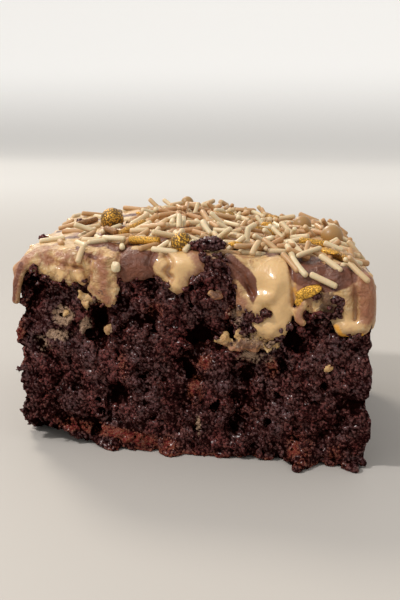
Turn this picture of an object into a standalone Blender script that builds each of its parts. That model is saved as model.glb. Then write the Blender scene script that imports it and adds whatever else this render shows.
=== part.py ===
"""A square-cut slice of chocolate tray cake: a dark crumbly sponge under a thick swirled frosting with sprinkles.

Metres, +Z up. The origin is at the middle of the underside, the shown cut face looks along -Y, and +X runs to its right.
Run with: blender --background --python part.py
"""

import math
import random

import bmesh
import bpy
from mathutils import Matrix, Vector, noise

MM = 0.001

# The slice is cut askew: its sides lean this far to the left for each length they run back
LEAN = 0.185

# The sponge
SPONGE_WIDTH = 66.4 * MM
SPONGE_DEPTH = 58.8 * MM
SPONGE_HEIGHT = 33.0 * MM
SPONGE_CELLS = (38, 22, 16)
CRAG_SPAN = 6.5 * MM
CRAG_DEPTH = 0.95 * MM
GRIT_SPAN = 2.6 * MM
GRIT_DEPTH = 0.7 * MM
CORNER_CRUMBLE = 0.6 * MM
MEAN_PROUD = 0.2 * MM
MOST_PROUD = 1.4 * MM
COVERED_FROM = 19.0 * MM
COVER_EASE = 2.0 * MM

# Hollows torn in the shown face: middle x and z, half width, half height, depth
HOLLOW_REACH = 1.35
HOLLOWS = (
    (-16.9, 24.4, 1.9, 4.4, 3.8),
    (-1.5, 17.0, 5.0, 4.0, 1.6),
    (11.4, 15.4, 2.6, 4.4, 2.2),
    (9.0, 6.0, 2.4, 2.6, 1.9),
    (-13.2, 10.4, 3.0, 2.2, 2.0),
    (3.6, 22.6, 3.6, 3.0, 2.4),
    (-29.8, 30.6, 3.0, 2.6, 2.4),
    (19.4, 22.6, 3.0, 2.4, 1.9),
)
# Crumbs that hang out at the foot of the shown face: middle x, half width, height, reach
FOOT_CRUMBS = (
    (21.0, 3.6, 4.6, 5.6),
    (-3.4, 3.0, 3.4, 2.8),
    (31.0, 3.2, 3.4, 2.2),
    (-14.5, 5.5, 2.6, 1.3),
)
# The crumbled corner at the lower left: its reach along the foot, into the depth, and up
CHIP_REACH = 17.0 * MM
CHIP_DEPTH = 10.0 * MM
CHIP_RISE = 5.2 * MM
CHIP_FADE = 12.0 * MM
# Nearer to a side of the block than this, a vertex is on it
ON_SIDE = 0.01 * MM
# A face whose normal stands this upright is even
EVEN_FACE = 0.9999

# The frosting
SKIN = 1.3 * MM
LIP_SKIN = 0.9 * MM
LIP_TAPER = 2.4 * MM
EDGE_RADIUS = 3.4 * MM
TOP_LEVEL = 37.3 * MM
TOP_TILT = -0.012
FROSTING_CELLS = (32, 28, 6)
SKIRT_HEIGHT = 6.0 * MM
LIP_LEVEL = 32.0 * MM
RIDGE_X = -4.0 * MM
RIDGE_SPAN = 17.0 * MM
RIDGE_HEIGHT = 3.3 * MM
RIDGE_RUN = 22.0 * MM
# The share of its height that the ridge keeps at the shown face
RIDGE_AT_FACE = 0.3
SHOULDER_X = 26.0 * MM
SHOULDER_RUN = 8.0 * MM
SHOULDER_DROP = 1.8 * MM
LEFT_SHOULDER_DROP = 0.8 * MM
LEFT_CORNER_DROP = 1.0 * MM
LEFT_CORNER_RUN = 16.0 * MM
SWIRL_SPAN = 9.5 * MM
SWIRL_HEIGHT = 0.8 * MM
SIDE_SWELL = 0.45 * MM
SIDE_SWELL_SPAN = 6.0 * MM
# The share of a run's half width that hangs to its full drop
RUN_FLAT = 0.45
# Where the frosting runs down the shown face: middle x, half width, drop below the lip
FRONT_DRIPS = (
    (-33.4, 4.0, 4.8),
    (-16.6, 4.6, 3.7),
    (-1.8, 3.6, 0.9),
    (14.8, 8.6, 9.8),
    (22.8, 5.2, 3.6),
    (30.4, 7.4, 7.2),
)
SIDE_DRIP_PITCH = 8.5 * MM
SIDE_DRIP_DROPS = (0.4 * MM, 6.0 * MM)
SIDE_DRIP_HALF_WIDTHS = (3.2 * MM, 6.0 * MM)
SIDE_DRIP_PLACES = (0.3, 0.7)
SIDE_DRIP_SEED = 11

# The gap between the sponge and the frosting that lies on it
FIT_GAP = 0.3 * MM
CUTTER_BELOW = 10.0 * MM

# The sprinkles
JIMMY_LENGTH = 5.3 * MM
JIMMY_RADIUS = 0.56 * MM
JIMMY_SIDES = 5
JIMMY_COUNT = 112
JIMMY_SPACING = 3.5 * MM
JIMMY_TILT = 0.14
JIMMY_TRIES = 60 * JIMMY_COUNT
JIMMY_SEED = 5
# The sprinkles lie thick to the right of here, thin to its left, and off the front edge
THICK_X = -17.0 * MM
THICK_RUN = 10.0 * MM
THIN_DENSITY = 0.3
BARE_Y = -27.0 * MM
BARE_RUN = 7.0 * MM
BARE_WHERE_THICK = 0.5
BARE_LEFT_X = -33.5 * MM
BARE_LEFT_RUN = 6.0 * MM
TOP_MARGIN = 0.6 * MM
ROD_LENGTH = 6.3 * MM
ROD_RADIUS = 0.78 * MM
# Gold rods: x and y of the middle, heading in degrees, rise per length
RODS = (
    (-9.8, -14.0, 14, 0.28),
    (-4.2, -24.0, -6, -0.1),
    (15.2, -0.5, 4, -0.1),
    (26.4, -11.0, -2, 0.0),
    (32.4, -21.5, -35, 0.0),
    (4.0, 9.0, 62, 0.0),
    (-22.0, 14.0, 100, 0.0),
    (12.0, 22.0, -40, 0.0),
)
# Sugar balls: x, y and radius
BALLS = (
    (-17.1, -4.6, 2.45),
    (3.9, -27.4, 2.0),
    (20.2, 16.3, 2.05),
    (28.5, 0.3, 2.3),
    (-8.7, 26.4, 1.5),
)
# Jimmies caught on the front rim: x and z of one end, then of the other, from the middle of the shown face
RIM_JIMMIES = (
    (22.8, 35.0, 26.9, 33.3),
    (19.4, 37.4, 21.7, 34.9),
    (24.4, 38.0, 28.0, 35.8),
    (29.0, 37.4, 33.2, 33.7),
)
BALL_CLEARANCE = 1.6 * MM
ROD_CLEARANCE = 2.6 * MM
# The share of their width that sticks are pressed into the frosting, and that balls are
SUNK = 0.42
BALL_SUNK = 0.126


def smooth(t):
    """0 below 0, 1 above 1, and an even ease between."""
    t = min(1.0, max(0.0, t))
    return t * t * (3 - 2 * t)


def falloff(distance, reach):
    """1 at no distance, easing to 0 at reach."""
    return 1 - smooth(distance / reach)


def plateau(distance, half_width):
    """1 over the middle of a half width, easing to 0 at its end."""
    flat = RUN_FLAT * half_width
    return 1 - smooth((abs(distance) - flat) / (half_width - flat))


def even_x(x, y):
    """The x that a point of the leaning slice has in an even block."""
    return x + LEAN * y


def leaned(p):
    """Where a point of an even block lies in the leaning slice."""
    return Vector((p.x - LEAN * p.y, p.y, p.z))


def new_object(name, bm, collection, material=None):
    mesh = bpy.data.meshes.new(name)
    bm.to_mesh(mesh)
    bm.free()
    obj = bpy.data.objects.new(name, mesh)
    collection.objects.link(obj)
    if material:
        mesh.materials.append(material)
    return obj


def block(size, cells, base):
    """A cube primitive of this size standing on base, with each family of its edges cut into that many cells."""
    bm = bmesh.new()
    bmesh.ops.create_cube(bm, size=1)
    for axis in range(3):
        along = [e for e in bm.edges if abs((e.verts[0].co - e.verts[1].co)[axis]) > 0.5]
        bmesh.ops.subdivide_edges(bm, edges=along, cuts=cells[axis] - 1, use_grid_fill=True)
    for v in bm.verts:
        v.co = Vector((v.co.x * size[0], v.co.y * size[1], base + (v.co.z + 0.5) * size[2]))
    return bm


def crag(p):
    """How far the torn crumb stands out of its even face at p: below 0 for pits."""
    broad = noise.noise(p / CRAG_SPAN) * CRAG_DEPTH
    fine = noise.noise(p / GRIT_SPAN + Vector((7, 3, 1))) * GRIT_DEPTH
    return broad + fine + MEAN_PROUD


def hollow_depth(x, z):
    """How deep the hollows of the shown face are at x, z."""
    depth = 0.0
    for middle_x, middle_z, half_x, half_z, deep in HOLLOWS:
        away = math.hypot((x / MM - middle_x) / half_x, (z / MM - middle_z) / half_z)
        depth = max(depth, deep * MM * falloff(away, HOLLOW_REACH))
    return depth


def foot_reach(x, z):
    """How far a crumb at the foot of the shown face hangs out at x, z."""
    reach = 0.0
    for middle, half_width, height, out in FOOT_CRUMBS:
        across = falloff(abs(x / MM - middle), half_width)
        reach = max(reach, out * MM * across * falloff(z / MM, height))
    return reach


def chip_rise(x, y):
    """How far the underside is crumbled away at the lower left corner."""
    along = falloff(x + SPONGE_WIDTH / 2, CHIP_REACH)
    inward = falloff(y + SPONGE_DEPTH / 2, CHIP_DEPTH)
    return CHIP_RISE * along * inward


def sponge_point(v):
    """Where a vertex of the even block lies on the torn crumb."""
    half_w, half_d = SPONGE_WIDTH / 2, SPONGE_DEPTH / 2
    x, y, z = v.co
    on_end, on_long_side = abs(x) > half_w - ON_SIDE, abs(y) > half_d - ON_SIDE
    if not (on_end or on_long_side):
        return v.co.copy()
    covered = smooth((z - COVERED_FROM) / COVER_EASE)
    out = Vector((v.normal.x, v.normal.y, 0))
    crumbled = CORNER_CRUMBLE if on_end and on_long_side else 0
    amount = min(crag(v.co), MOST_PROUD * (1 - covered)) - crumbled
    p = v.co + out.normalized() * amount
    if y < -half_d + ON_SIDE:
        p.y += hollow_depth(x, z) - foot_reach(x, z)
    p.z += chip_rise(x, y) * falloff(z, CHIP_FADE)
    return p


def merge_flat_faces(bm):
    """Joins the even faces of the top and the underside, so that only the torn sides keep small ones."""
    flat = [f for f in bm.faces if abs(f.normal.z) > EVEN_FACE]
    edges = {e for f in flat for e in f.edges if all(g in flat for g in e.link_faces)}
    bmesh.ops.dissolve_edges(bm, edges=list(edges), use_verts=True)
    bmesh.ops.triangulate(bm, faces=bm.faces, ngon_method="BEAUTY")


def make_sponge(collection, material):
    bm = block((SPONGE_WIDTH, SPONGE_DEPTH, SPONGE_HEIGHT), SPONGE_CELLS, 0)
    bm.normal_update()
    moved = [sponge_point(v) for v in bm.verts]
    for v, p in zip(bm.verts, moved):
        v.co = leaned(p)
    bm.normal_update()
    merge_flat_faces(bm)
    return new_object("sponge", bm, collection, material)


def drips():
    """Every place where the frosting runs down: x and y on the rim, half width, drop."""
    made = [(x * MM, -SPONGE_DEPTH / 2 - SKIN, w * MM, d * MM) for x, w, d in FRONT_DRIPS]
    draw = random.Random(SIDE_DRIP_SEED)
    half_w, half_d = SPONGE_WIDTH / 2 + SKIN, SPONGE_DEPTH / 2 + SKIN
    rim = [(half_w, -half_d, half_w, half_d), (half_w, half_d, -half_w, half_d), (-half_w, half_d, -half_w, -half_d)]
    for x0, y0, x1, y1 in rim:
        length = math.hypot(x1 - x0, y1 - y0)
        count = round(length / SIDE_DRIP_PITCH)
        for i in range(count):
            t = (i + draw.uniform(*SIDE_DRIP_PLACES)) / count
            drop = draw.uniform(*SIDE_DRIP_DROPS)
            half_width = draw.uniform(*SIDE_DRIP_HALF_WIDTHS)
            made.append((x0 + (x1 - x0) * t, y0 + (y1 - y0) * t, half_width, drop))
    return made


DRIPS = drips()


def lip_level(x, y):
    """The height of the frosting's lower lip at x, y of the even block."""
    return LIP_LEVEL - max(drop * plateau(math.hypot(x - dx, y - dy), width) for dx, dy, width, drop in DRIPS)


def swell(x, y):
    """How far the frosting's top stands over its level at x, y of the even block."""
    run = RIDGE_AT_FACE + (1 - RIDGE_AT_FACE) * smooth((y + SPONGE_DEPTH / 2) / RIDGE_RUN)
    ridge = RIDGE_HEIGHT * run * math.exp(-(((x - RIDGE_X) / RIDGE_SPAN) ** 2))
    swirl = SWIRL_HEIGHT * noise.noise(Vector((x, y, 0)) / SWIRL_SPAN)
    right = SHOULDER_DROP * smooth((x - SHOULDER_X) / SHOULDER_RUN)
    at_face = 1 - smooth((y + SPONGE_DEPTH / 2) / LEFT_CORNER_RUN)
    left = (LEFT_SHOULDER_DROP + LEFT_CORNER_DROP * at_face) * smooth((-x - SHOULDER_X) / SHOULDER_RUN)
    return ridge + swirl + TOP_TILT * x - right - left


def top_height(x, y):
    """The height of the frosting's top at x, y of the slice, rounded down to its rim."""
    x = even_x(x, y)
    over_x = max(0.0, abs(x) - (SPONGE_WIDTH / 2 + SKIN - EDGE_RADIUS))
    over_y = max(0.0, abs(y) - (SPONGE_DEPTH / 2 + SKIN - EDGE_RADIUS))
    over = min(EDGE_RADIUS, math.hypot(over_x, over_y))
    return TOP_LEVEL + swell(x, y) - EDGE_RADIUS + math.sqrt(EDGE_RADIUS**2 - over**2)


def rim_spot(x, z, radius):
    """The point on the front rim, raised by a radius, at this x and height of the shown face."""
    front = SPONGE_DEPTH / 2 + SKIN - EDGE_RADIUS
    up = max(0.0, z - (TOP_LEVEL + swell(x, -front) - EDGE_RADIUS))
    out = math.sqrt(max(0.0, EDGE_RADIUS**2 - up**2)) + radius * (1 - 2 * SUNK)
    return leaned(Vector((x, -front - out, z)))


def frosting_point(p, half_w, half_d):
    """Where a point of the frosting's even block lies on its rounded, running form."""
    inner = Vector((
        min(half_w - EDGE_RADIUS, max(EDGE_RADIUS - half_w, p.x)),
        min(half_d - EDGE_RADIUS, max(EDGE_RADIUS - half_d, p.y)),
        min(TOP_LEVEL - EDGE_RADIUS, p.z),
    ))
    away = p - inner
    q = inner + away.normalized() * max(abs(c) for c in away)
    share = min(1.0, (p.z - (TOP_LEVEL - SKIRT_HEIGHT)) / (SKIRT_HEIGHT - EDGE_RADIUS))
    lip = lip_level(q.x, q.y)
    if share < 1:
        q.z = lip + share * (TOP_LEVEL - EDGE_RADIUS - lip)
    q.z += swell(q.x, q.y) * smooth((q.z - lip) / (TOP_LEVEL - lip))
    side = Vector((q.x - inner.x, q.y - inner.y, 0))
    if side.length > 1e-6:
        taper = (SKIN - LIP_SKIN) * falloff(q.z - lip, LIP_TAPER)
        side_swell = SIDE_SWELL * noise.noise(q / SIDE_SWELL_SPAN)
        q += side.normalized() * (side_swell - taper) * min(1.0, side.length / EDGE_RADIUS)
    return leaned(q)


def make_frosting(collection, material):
    half_w, half_d = SPONGE_WIDTH / 2 + SKIN, SPONGE_DEPTH / 2 + SKIN
    bm = block((2 * half_w, 2 * half_d, SKIRT_HEIGHT), FROSTING_CELLS, TOP_LEVEL - SKIRT_HEIGHT)
    for v in bm.verts:
        v.co = frosting_point(v.co, half_w, half_d)
    bmesh.ops.triangulate(bm, faces=bm.faces)
    return new_object("frosting", bm, collection, material)


def make_sponge_cutter(collection):
    """The even block that the frosting is hollowed with, the sponge and its gap."""
    size = (SPONGE_WIDTH + 2 * FIT_GAP, SPONGE_DEPTH + 2 * FIT_GAP, SPONGE_HEIGHT + FIT_GAP + CUTTER_BELOW)
    bm = block(size, (1, 1, 1), -CUTTER_BELOW)
    for v in bm.verts:
        v.co = leaned(v.co)
    cutter = new_object("sponge_cutter", bm, collection)
    cutter.hide_render = True
    cutter.display_type = "WIRE"
    return cutter


def density(x, y):
    """How thickly the sprinkles lie at x, y, from 0 to 1: thick over the right two thirds, thin at the left."""
    thick = smooth((x - THICK_X) / THICK_RUN)
    off_front = smooth((y - BARE_Y) / BARE_RUN + BARE_WHERE_THICK * thick)
    off_left = smooth((even_x(x, y) - BARE_LEFT_X) / BARE_LEFT_RUN)
    return (THIN_DENSITY + (1 - THIN_DENSITY) * thick) * off_front * off_left


def jimmy_spots(count, spacing):
    """x, y, heading and tilt of each jimmy, spread by throwing darts that stay a spacing apart."""
    draw = random.Random(JIMMY_SEED)
    half_w, half_d = SPONGE_WIDTH / 2 - TOP_MARGIN, SPONGE_DEPTH / 2 - TOP_MARGIN
    taken = [(x * MM, y * MM, r * MM + BALL_CLEARANCE) for x, y, r in BALLS]
    taken += [(x * MM, y * MM, ROD_CLEARANCE) for x, y, _, _ in RODS]
    spots = []
    for _ in range(JIMMY_TRIES):
        y = draw.uniform(-half_d, half_d)
        x = draw.uniform(-half_w, half_w) - LEAN * y
        heading, tilt = draw.uniform(0, math.pi), draw.uniform(-JIMMY_TILT, JIMMY_TILT)
        keep = draw.random()
        if keep > density(x, y) or any(math.hypot(x - a, y - b) < r for a, b, r in taken):
            continue
        spots.append((x, y, heading, tilt))
        taken.append((x, y, spacing))
        if len(spots) == count:
            break
    return spots


def lying(x, y, heading, tilt, length, radius):
    """The matrix that lays a stick made along Z on the frosting, partly sunk in it."""
    dx, dy = math.cos(heading) * length / 2, math.sin(heading) * length / 2
    low, high = top_height(x - dx, y - dy), top_height(x + dx, y + dy)
    along = Vector((2 * dx, 2 * dy, high - low + tilt * length)).normalized()
    level = max((low + high) / 2, top_height(x, y)) + radius * (1 - 2 * SUNK)
    return Matrix.Translation((x, y, level)) @ along.to_track_quat("Z", "Y").to_matrix().to_4x4()


def between(start, end):
    """The matrix that lays a stick made along Z from start to end."""
    return Matrix.Translation((start + end) / 2) @ (end - start).to_track_quat("Z", "Y").to_matrix().to_4x4()


def make_stick(name, place, length, radius, collection):
    bm = bmesh.new()
    bmesh.ops.create_cone(
        bm, cap_ends=True, segments=JIMMY_SIDES, radius1=radius, radius2=radius, depth=length, matrix=place
    )
    return new_object(name, bm, collection)


def make_ball(name, x, y, radius, collection):
    bm = bmesh.new()
    place = Matrix.Translation((x, y, top_height(x, y) + radius * (1 - 2 * BALL_SUNK)))
    bmesh.ops.create_icosphere(bm, subdivisions=2, radius=radius, matrix=place)
    return new_object(name, bm, collection)


def make_sprinkles(collection):
    for i, (x, y, radius) in enumerate(BALLS):
        make_ball(f"ball_{i:02d}", x * MM, y * MM, radius * MM, collection)
    for i, (x, y, heading, rise) in enumerate(RODS):
        place = lying(x * MM, y * MM, math.radians(heading), rise, ROD_LENGTH, ROD_RADIUS)
        make_stick(f"rod_{i:02d}", place, ROD_LENGTH, ROD_RADIUS, collection)
    for i, (x0, z0, x1, z1) in enumerate(RIM_JIMMIES):
        start = rim_spot(x0 * MM, z0 * MM, JIMMY_RADIUS)
        end = rim_spot(x1 * MM, z1 * MM, JIMMY_RADIUS)
        make_stick(f"rim_jimmy_{i}", between(start, end), (end - start).length, JIMMY_RADIUS, collection)
    for i, (x, y, heading, tilt) in enumerate(jimmy_spots(JIMMY_COUNT, JIMMY_SPACING)):
        place = lying(x, y, heading, tilt, JIMMY_LENGTH, JIMMY_RADIUS)
        make_stick(f"jimmy_{i:03d}", place, JIMMY_LENGTH, JIMMY_RADIUS, collection)


def apply_boolean(obj, operation, solver, other=None, collection=None):
    """Adds a Boolean and bakes its result into the object's mesh."""
    modifier = obj.modifiers.new(operation.lower(), "BOOLEAN")
    modifier.operation = operation
    modifier.solver = solver
    if collection:
        modifier.operand_type = "COLLECTION"
        modifier.collection = collection
    else:
        modifier.object = other
    bpy.context.view_layer.update()
    graph = bpy.context.evaluated_depsgraph_get()
    made = bpy.data.meshes.new_from_object(obj.evaluated_get(graph))
    obj.modifiers.remove(modifier)
    old, obj.data = obj.data, made
    made.name = old.name
    bpy.data.meshes.remove(old)


def keep_largest_piece(obj):
    """Drops loose scraps and the walls of sealed hollows, which a union can leave."""
    bm = bmesh.new()
    bm.from_mesh(obj.data)
    left, pieces = set(bm.verts), []
    while left:
        piece, front = set(), [left.pop()]
        while front:
            v = front.pop()
            piece.add(v)
            for e in v.link_edges:
                other = e.other_vert(v)
                if other in left:
                    left.remove(other)
                    front.append(other)
        pieces.append(piece)
    pieces.sort(key=len, reverse=True)
    bmesh.ops.delete(bm, geom=[v for piece in pieces[1:] for v in piece], context="VERTS")
    bmesh.ops.triangulate(bm, faces=bm.faces)
    bm.to_mesh(obj.data)
    bm.free()


def make_material(name, colour, roughness):
    material = bpy.data.materials.new(name)
    material.use_nodes = True
    shader = material.node_tree.nodes["Principled BSDF"]
    shader.inputs["Base Color"].default_value = (*colour, 1)
    shader.inputs["Roughness"].default_value = roughness
    return material


def new_collection(name):
    collection = bpy.data.collections.new(name)
    bpy.context.scene.collection.children.link(collection)
    return collection


def main():
    for obj in list(bpy.data.objects):
        bpy.data.objects.remove(obj)
    cake = new_collection("chocolate_cake_slice")
    cutters = new_collection("cutters")
    sprinkles = new_collection("sprinkles")

    sponge = make_sponge(cake, make_material("chocolate_crumb", (0.035, 0.013, 0.010), 0.75))
    frosting = make_frosting(cake, make_material("caramel_frosting", (0.58, 0.37, 0.19), 0.4))
    apply_boolean(frosting, "DIFFERENCE", "EXACT", other=make_sponge_cutter(cutters))
    make_sprinkles(sprinkles)
    apply_boolean(frosting, "UNION", "MANIFOLD", collection=sprinkles)
    keep_largest_piece(frosting)
    for obj in list(sprinkles.objects):
        bpy.data.objects.remove(obj)
    bpy.data.collections.remove(sprinkles)
    for obj in (sponge, frosting):
        obj.data.shade_smooth()
        obj.data.set_sharp_from_angle(angle=math.radians(40))


main()
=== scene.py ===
"""Looks for the slice of chocolate cake: torn moist sponge, swirled frosting and sprinkles.

Every piece is made by an operator of the Cake tab, in metres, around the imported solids.
"""

import itertools
import math
import random

import bpy
import numpy as np
import openvdb
from mathutils import Matrix, Vector, noise


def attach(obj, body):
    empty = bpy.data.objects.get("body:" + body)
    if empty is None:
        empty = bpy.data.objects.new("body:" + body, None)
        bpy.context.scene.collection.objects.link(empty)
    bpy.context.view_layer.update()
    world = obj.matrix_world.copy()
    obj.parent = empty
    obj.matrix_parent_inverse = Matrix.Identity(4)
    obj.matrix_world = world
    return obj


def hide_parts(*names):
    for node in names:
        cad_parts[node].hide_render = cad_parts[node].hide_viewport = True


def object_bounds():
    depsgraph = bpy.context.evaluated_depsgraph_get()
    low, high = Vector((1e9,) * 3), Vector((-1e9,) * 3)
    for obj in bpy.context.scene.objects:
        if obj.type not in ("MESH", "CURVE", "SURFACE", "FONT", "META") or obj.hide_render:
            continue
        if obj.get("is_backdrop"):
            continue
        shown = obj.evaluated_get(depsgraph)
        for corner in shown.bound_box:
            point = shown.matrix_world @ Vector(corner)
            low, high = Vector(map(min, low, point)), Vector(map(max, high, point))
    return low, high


bl_info = {
    "name": "Chocolate cake slice",
    "version": (1, 0, 0),
    "blender": (4, 5, 0),
    "location": "3D View > Sidebar > Cake",
    "description": "Makes a frosted slice of chocolate tray cake, piece by piece",
    "category": "Add Mesh",
}

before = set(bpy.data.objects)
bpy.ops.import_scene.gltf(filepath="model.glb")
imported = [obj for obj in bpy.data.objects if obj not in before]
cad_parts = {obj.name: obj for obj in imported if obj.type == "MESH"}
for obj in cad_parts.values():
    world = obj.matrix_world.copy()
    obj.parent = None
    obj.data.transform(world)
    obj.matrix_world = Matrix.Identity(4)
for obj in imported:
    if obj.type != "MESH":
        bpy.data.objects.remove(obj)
SOLID_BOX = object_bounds()

MM = 0.001

# The slice leans this far to the left for each length it runs back
LEAN = 0.185

# The torn crumb, as in the solids
CRAG_SPAN = 6.5 * MM
CRAG_DEPTH = 0.95 * MM
GRIT_SPAN = 2.6 * MM
GRIT_DEPTH = 0.7 * MM
MEAN_PROUD = 0.2 * MM
MOST_PROUD = 1.4
COVERED_FROM = 19.0
COVER_EASE = 2.0
HOLLOW_REACH = 1.35
HOLLOWS = (
    (-16.9, 24.4, 1.9, 4.4, 3.8),
    (-1.5, 17.0, 5.0, 4.0, 1.6),
    (11.4, 15.4, 2.6, 4.4, 2.2),
    (9.0, 6.0, 2.4, 2.6, 1.9),
    (-13.2, 10.4, 3.0, 2.2, 2.0),
    (3.6, 22.6, 3.6, 3.0, 2.4),
    (-29.8, 30.6, 3.0, 2.6, 2.4),
    (19.4, 22.6, 3.0, 2.4, 1.9),
)
FOOT_CRUMBS = (
    (21.0, 3.6, 4.6, 5.6),
    (-3.4, 3.0, 3.4, 2.8),
    (31.0, 3.2, 3.4, 2.2),
    (-14.5, 5.5, 2.6, 1.3),
)
CORNER_REACH = 17.0
CORNER_DEPTH = 10.0
CORNER_RISE = 5.2

# The frosting, as in the solids
SKIN = 1.3 * MM
LIP_SKIN = 0.9 * MM
LIP_TAPER = 2.4
EDGE_RADIUS = 3.4 * MM
TOP_LEVEL = 37.3 * MM
TOP_TILT = -0.012
LIP_LEVEL = 32.0 * MM
RIDGE_X = -4.0 * MM
RIDGE_SPAN = 17.0 * MM
RIDGE_HEIGHT = 3.3 * MM
RIDGE_RUN = 22.0 * MM
RIDGE_AT_FACE = 0.3
SHOULDER_X = 26.0 * MM
SHOULDER_RUN = 8.0 * MM
SHOULDER_DROP = 1.8 * MM
LEFT_SHOULDER_DROP = 0.8 * MM
LEFT_CORNER_DROP = 1.0 * MM
LEFT_CORNER_RUN = 16.0 * MM
SWIRL_SPAN = 9.5 * MM
SWIRL_HEIGHT = 0.8 * MM
FRONT_DRIPS = (
    (-33.4, 4.0, 4.8),
    (-16.6, 4.6, 3.7),
    (-1.8, 3.6, 0.9),
    (14.8, 8.6, 9.8),
    (22.8, 5.2, 3.6),
    (30.4, 7.4, 7.2),
)
SIDE_DRIP_PITCH = 8.5 * MM
SIDE_DRIP_DROPS = (0.4 * MM, 6.0 * MM)
SIDE_DRIP_HALF_WIDTHS = (3.2 * MM, 6.0 * MM)
SIDE_DRIP_SEED = 11
FIT_GAP = 0.3

# The sprinkles, as in the solids
JIMMY_COUNT = 112
JIMMY_SPACING = 3.5 * MM
JIMMY_SEED = 5
JIMMY_TILT = 0.14
THICK_X = -17.0 * MM
THICK_RUN = 10.0 * MM
THIN_DENSITY = 0.3
BARE_Y = -27.0 * MM
BARE_RUN = 7.0 * MM
BARE_WHERE_THICK = 0.5
BARE_LEFT_X = -33.5 * MM
BARE_LEFT_RUN = 6.0 * MM
TOP_MARGIN = 0.6 * MM
BALL_CLEARANCE = 1.6 * MM
ROD_CLEARANCE = 2.6 * MM
RODS = (
    (-9.8, -14.0, 14, 0.28),
    (-4.2, -24.0, -6, -0.1),
    (15.2, -0.5, 4, -0.1),
    (26.4, -11.0, -2, 0.0),
    (32.4, -21.5, -35, 0.0),
    (4.0, 9.0, 62, 0.0),
    (-22.0, 14.0, 100, 0.0),
    (12.0, 22.0, -40, 0.0),
)
BALLS = (
    (-17.1, -4.6, 2.45),
    (3.9, -27.4, 2.0),
    (20.2, 16.3, 2.05),
    (28.5, 0.3, 2.3),
    (-8.7, 26.4, 1.5),
)
RIM_JIMMIES = (
    (22.8, 35.0, 26.9, 33.3),
    (19.4, 37.4, 21.7, 34.9),
    (24.4, 38.0, 28.0, 35.8),
    (29.0, 37.4, 33.2, 33.7),
)
RIM_LIFT = Vector((0, -0.5, 0.45)) * MM
SUNK = 0.42
BALL_SUNK = 0.126

# The jimmies piled on the first layer
FIRST_RAISE = 0.15 * MM
PILE_SPACING = 1.75 * MM
PILE_SEED = 29
PILE_THINNING = 3
PILE_RAISES = (0.2, 1.7)
PILE_LEANINGS = (1, 4, 7)
PILE_OFF_BALLS = 1.2 * MM
PILE_OFF_RODS = 3.4 * MM
CLEAR_AHEAD = 6.0
CLEAR_ASIDE = 1.6


def srgb(red, green, blue):
    """Linear values of a colour given as 0 to 255."""
    return tuple(c / 3294.6 if c <= 10.31 else ((c / 255 + 0.055) / 1.055) ** 2.4 for c in (red, green, blue))


def colour(name, description, *value):
    told = {"name": name, "description": description, "default": srgb(*value)}
    return bpy.props.FloatVectorProperty(**told, subtype="COLOR", size=3, min=0, max=1)


def length(name, description, metres):
    told = {"name": name, "description": description, "default": metres}
    return bpy.props.FloatProperty(**told, unit="LENGTH", min=0.0001, precision=5)


class CakeSizes(bpy.types.PropertyGroup):
    sponge_width: length("Sponge width", "Along the shown face", 66.4 * MM)
    sponge_depth: length("Sponge depth", "From the shown face to the back", 58.8 * MM)
    sponge_height: length("Sponge height", "From the underside to the frosting", 33.0 * MM)
    face_step: length("Face detail", "Finest step of the shown face's crumb", 0.272 * MM)
    body_step: length("Body detail", "Finest step of the other faces' crumb", 0.5 * MM)
    frosting_step: length("Frosting detail", "Finest step of the frosting", 0.34 * MM)
    granule: length("Granule", "Span of one crumb granule", 0.64 * MM)
    jimmy_length: length("Jimmy length", "Length of a thin sprinkle", 5.3 * MM)
    jimmy_radius: length("Jimmy radius", "Radius of a thin sprinkle", 0.56 * MM)
    rod_length: length("Rod length", "Length of a gold rod", 6.3 * MM)
    rod_radius: length("Rod radius", "Radius of a gold rod", 0.78 * MM)
    piled_jimmies: bpy.props.IntProperty(
        name="Piled jimmies", description="Thin sprinkles that lie on the first layer", default=260, min=0
    )


class CakeColours(bpy.types.PropertyGroup):
    # Painted shade: the crumb's colour in the gaps between granules and deep in its hollows
    crumb_painted_shade: colour("Crumb, deep", "Between the granules", 15, 3, 2)
    crumb_dark: colour("Crumb, dark", "The darker granules", 31, 11, 11)
    crumb_red: colour("Crumb, reddish", "The lighter granules", 106, 62, 58)
    crumb_wine: colour("Crumb, wine red", "The redder lumps", 108, 38, 38)
    crumb_cool: colour("Crumb, cool", "The greyer lumps", 82, 64, 70)
    crumb_stain: colour("Crumb stain", "Crumb worked into the frosting", 96, 66, 50)
    crust: colour("Crust", "The baked foot", 124, 72, 52)
    smear: colour("Smear", "Frosting rubbed into the crumb", 168, 138, 114)
    caramel: colour("Caramel", "The thick smooth frosting", 214, 174, 117)
    caramel_deep: colour("Caramel, deep", "The frosting spread thin", 202, 162, 106)
    putty: colour("Putty", "The dull pinkish frosting", 174, 140, 98)
    chocolate: colour("Milk chocolate", "The frosting's brown swirls", 110, 61, 39)
    chocolate_dark: colour("Milk chocolate, dark", "The thicker brown swirls", 92, 52, 35)
    # Rust, also painted as shade along the frosting's creases
    rust_and_crease_shade: colour("Rust", "Reddish streaks in the frosting", 142, 86, 60)
    amber: colour("Amber", "The thin see-through lips", 214, 148, 30)
    cream: colour("Cream", "Light jimmies", 214, 196, 158)
    biscuit: colour("Biscuit", "Tan jimmies", 192, 154, 108)
    toffee: colour("Toffee", "The darkest jimmies", 164, 114, 68)
    gold: colour("Gold", "Gold rods and glitter", 222, 168, 66)
    bronze: colour("Bronze", "Darker rods", 150, 104, 54)
    pearl: colour("Pearl", "Matte gold pearls", 158, 120, 66)
    floor: colour("Floor", "The floor", 182, 177, 171)
    backdrop: colour("Backdrop", "What rises behind the floor", 246, 245, 243)


def smooth(t):
    t = np.clip(t, 0, 1)
    return t * t * (3 - 2 * t)


def falloff(distance, reach):
    return 1 - smooth(distance / reach)


def plateau(distance, half_width):
    flat = 0.45 * half_width
    return 1 - smooth((np.abs(distance) - flat) / (half_width - flat))


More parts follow.
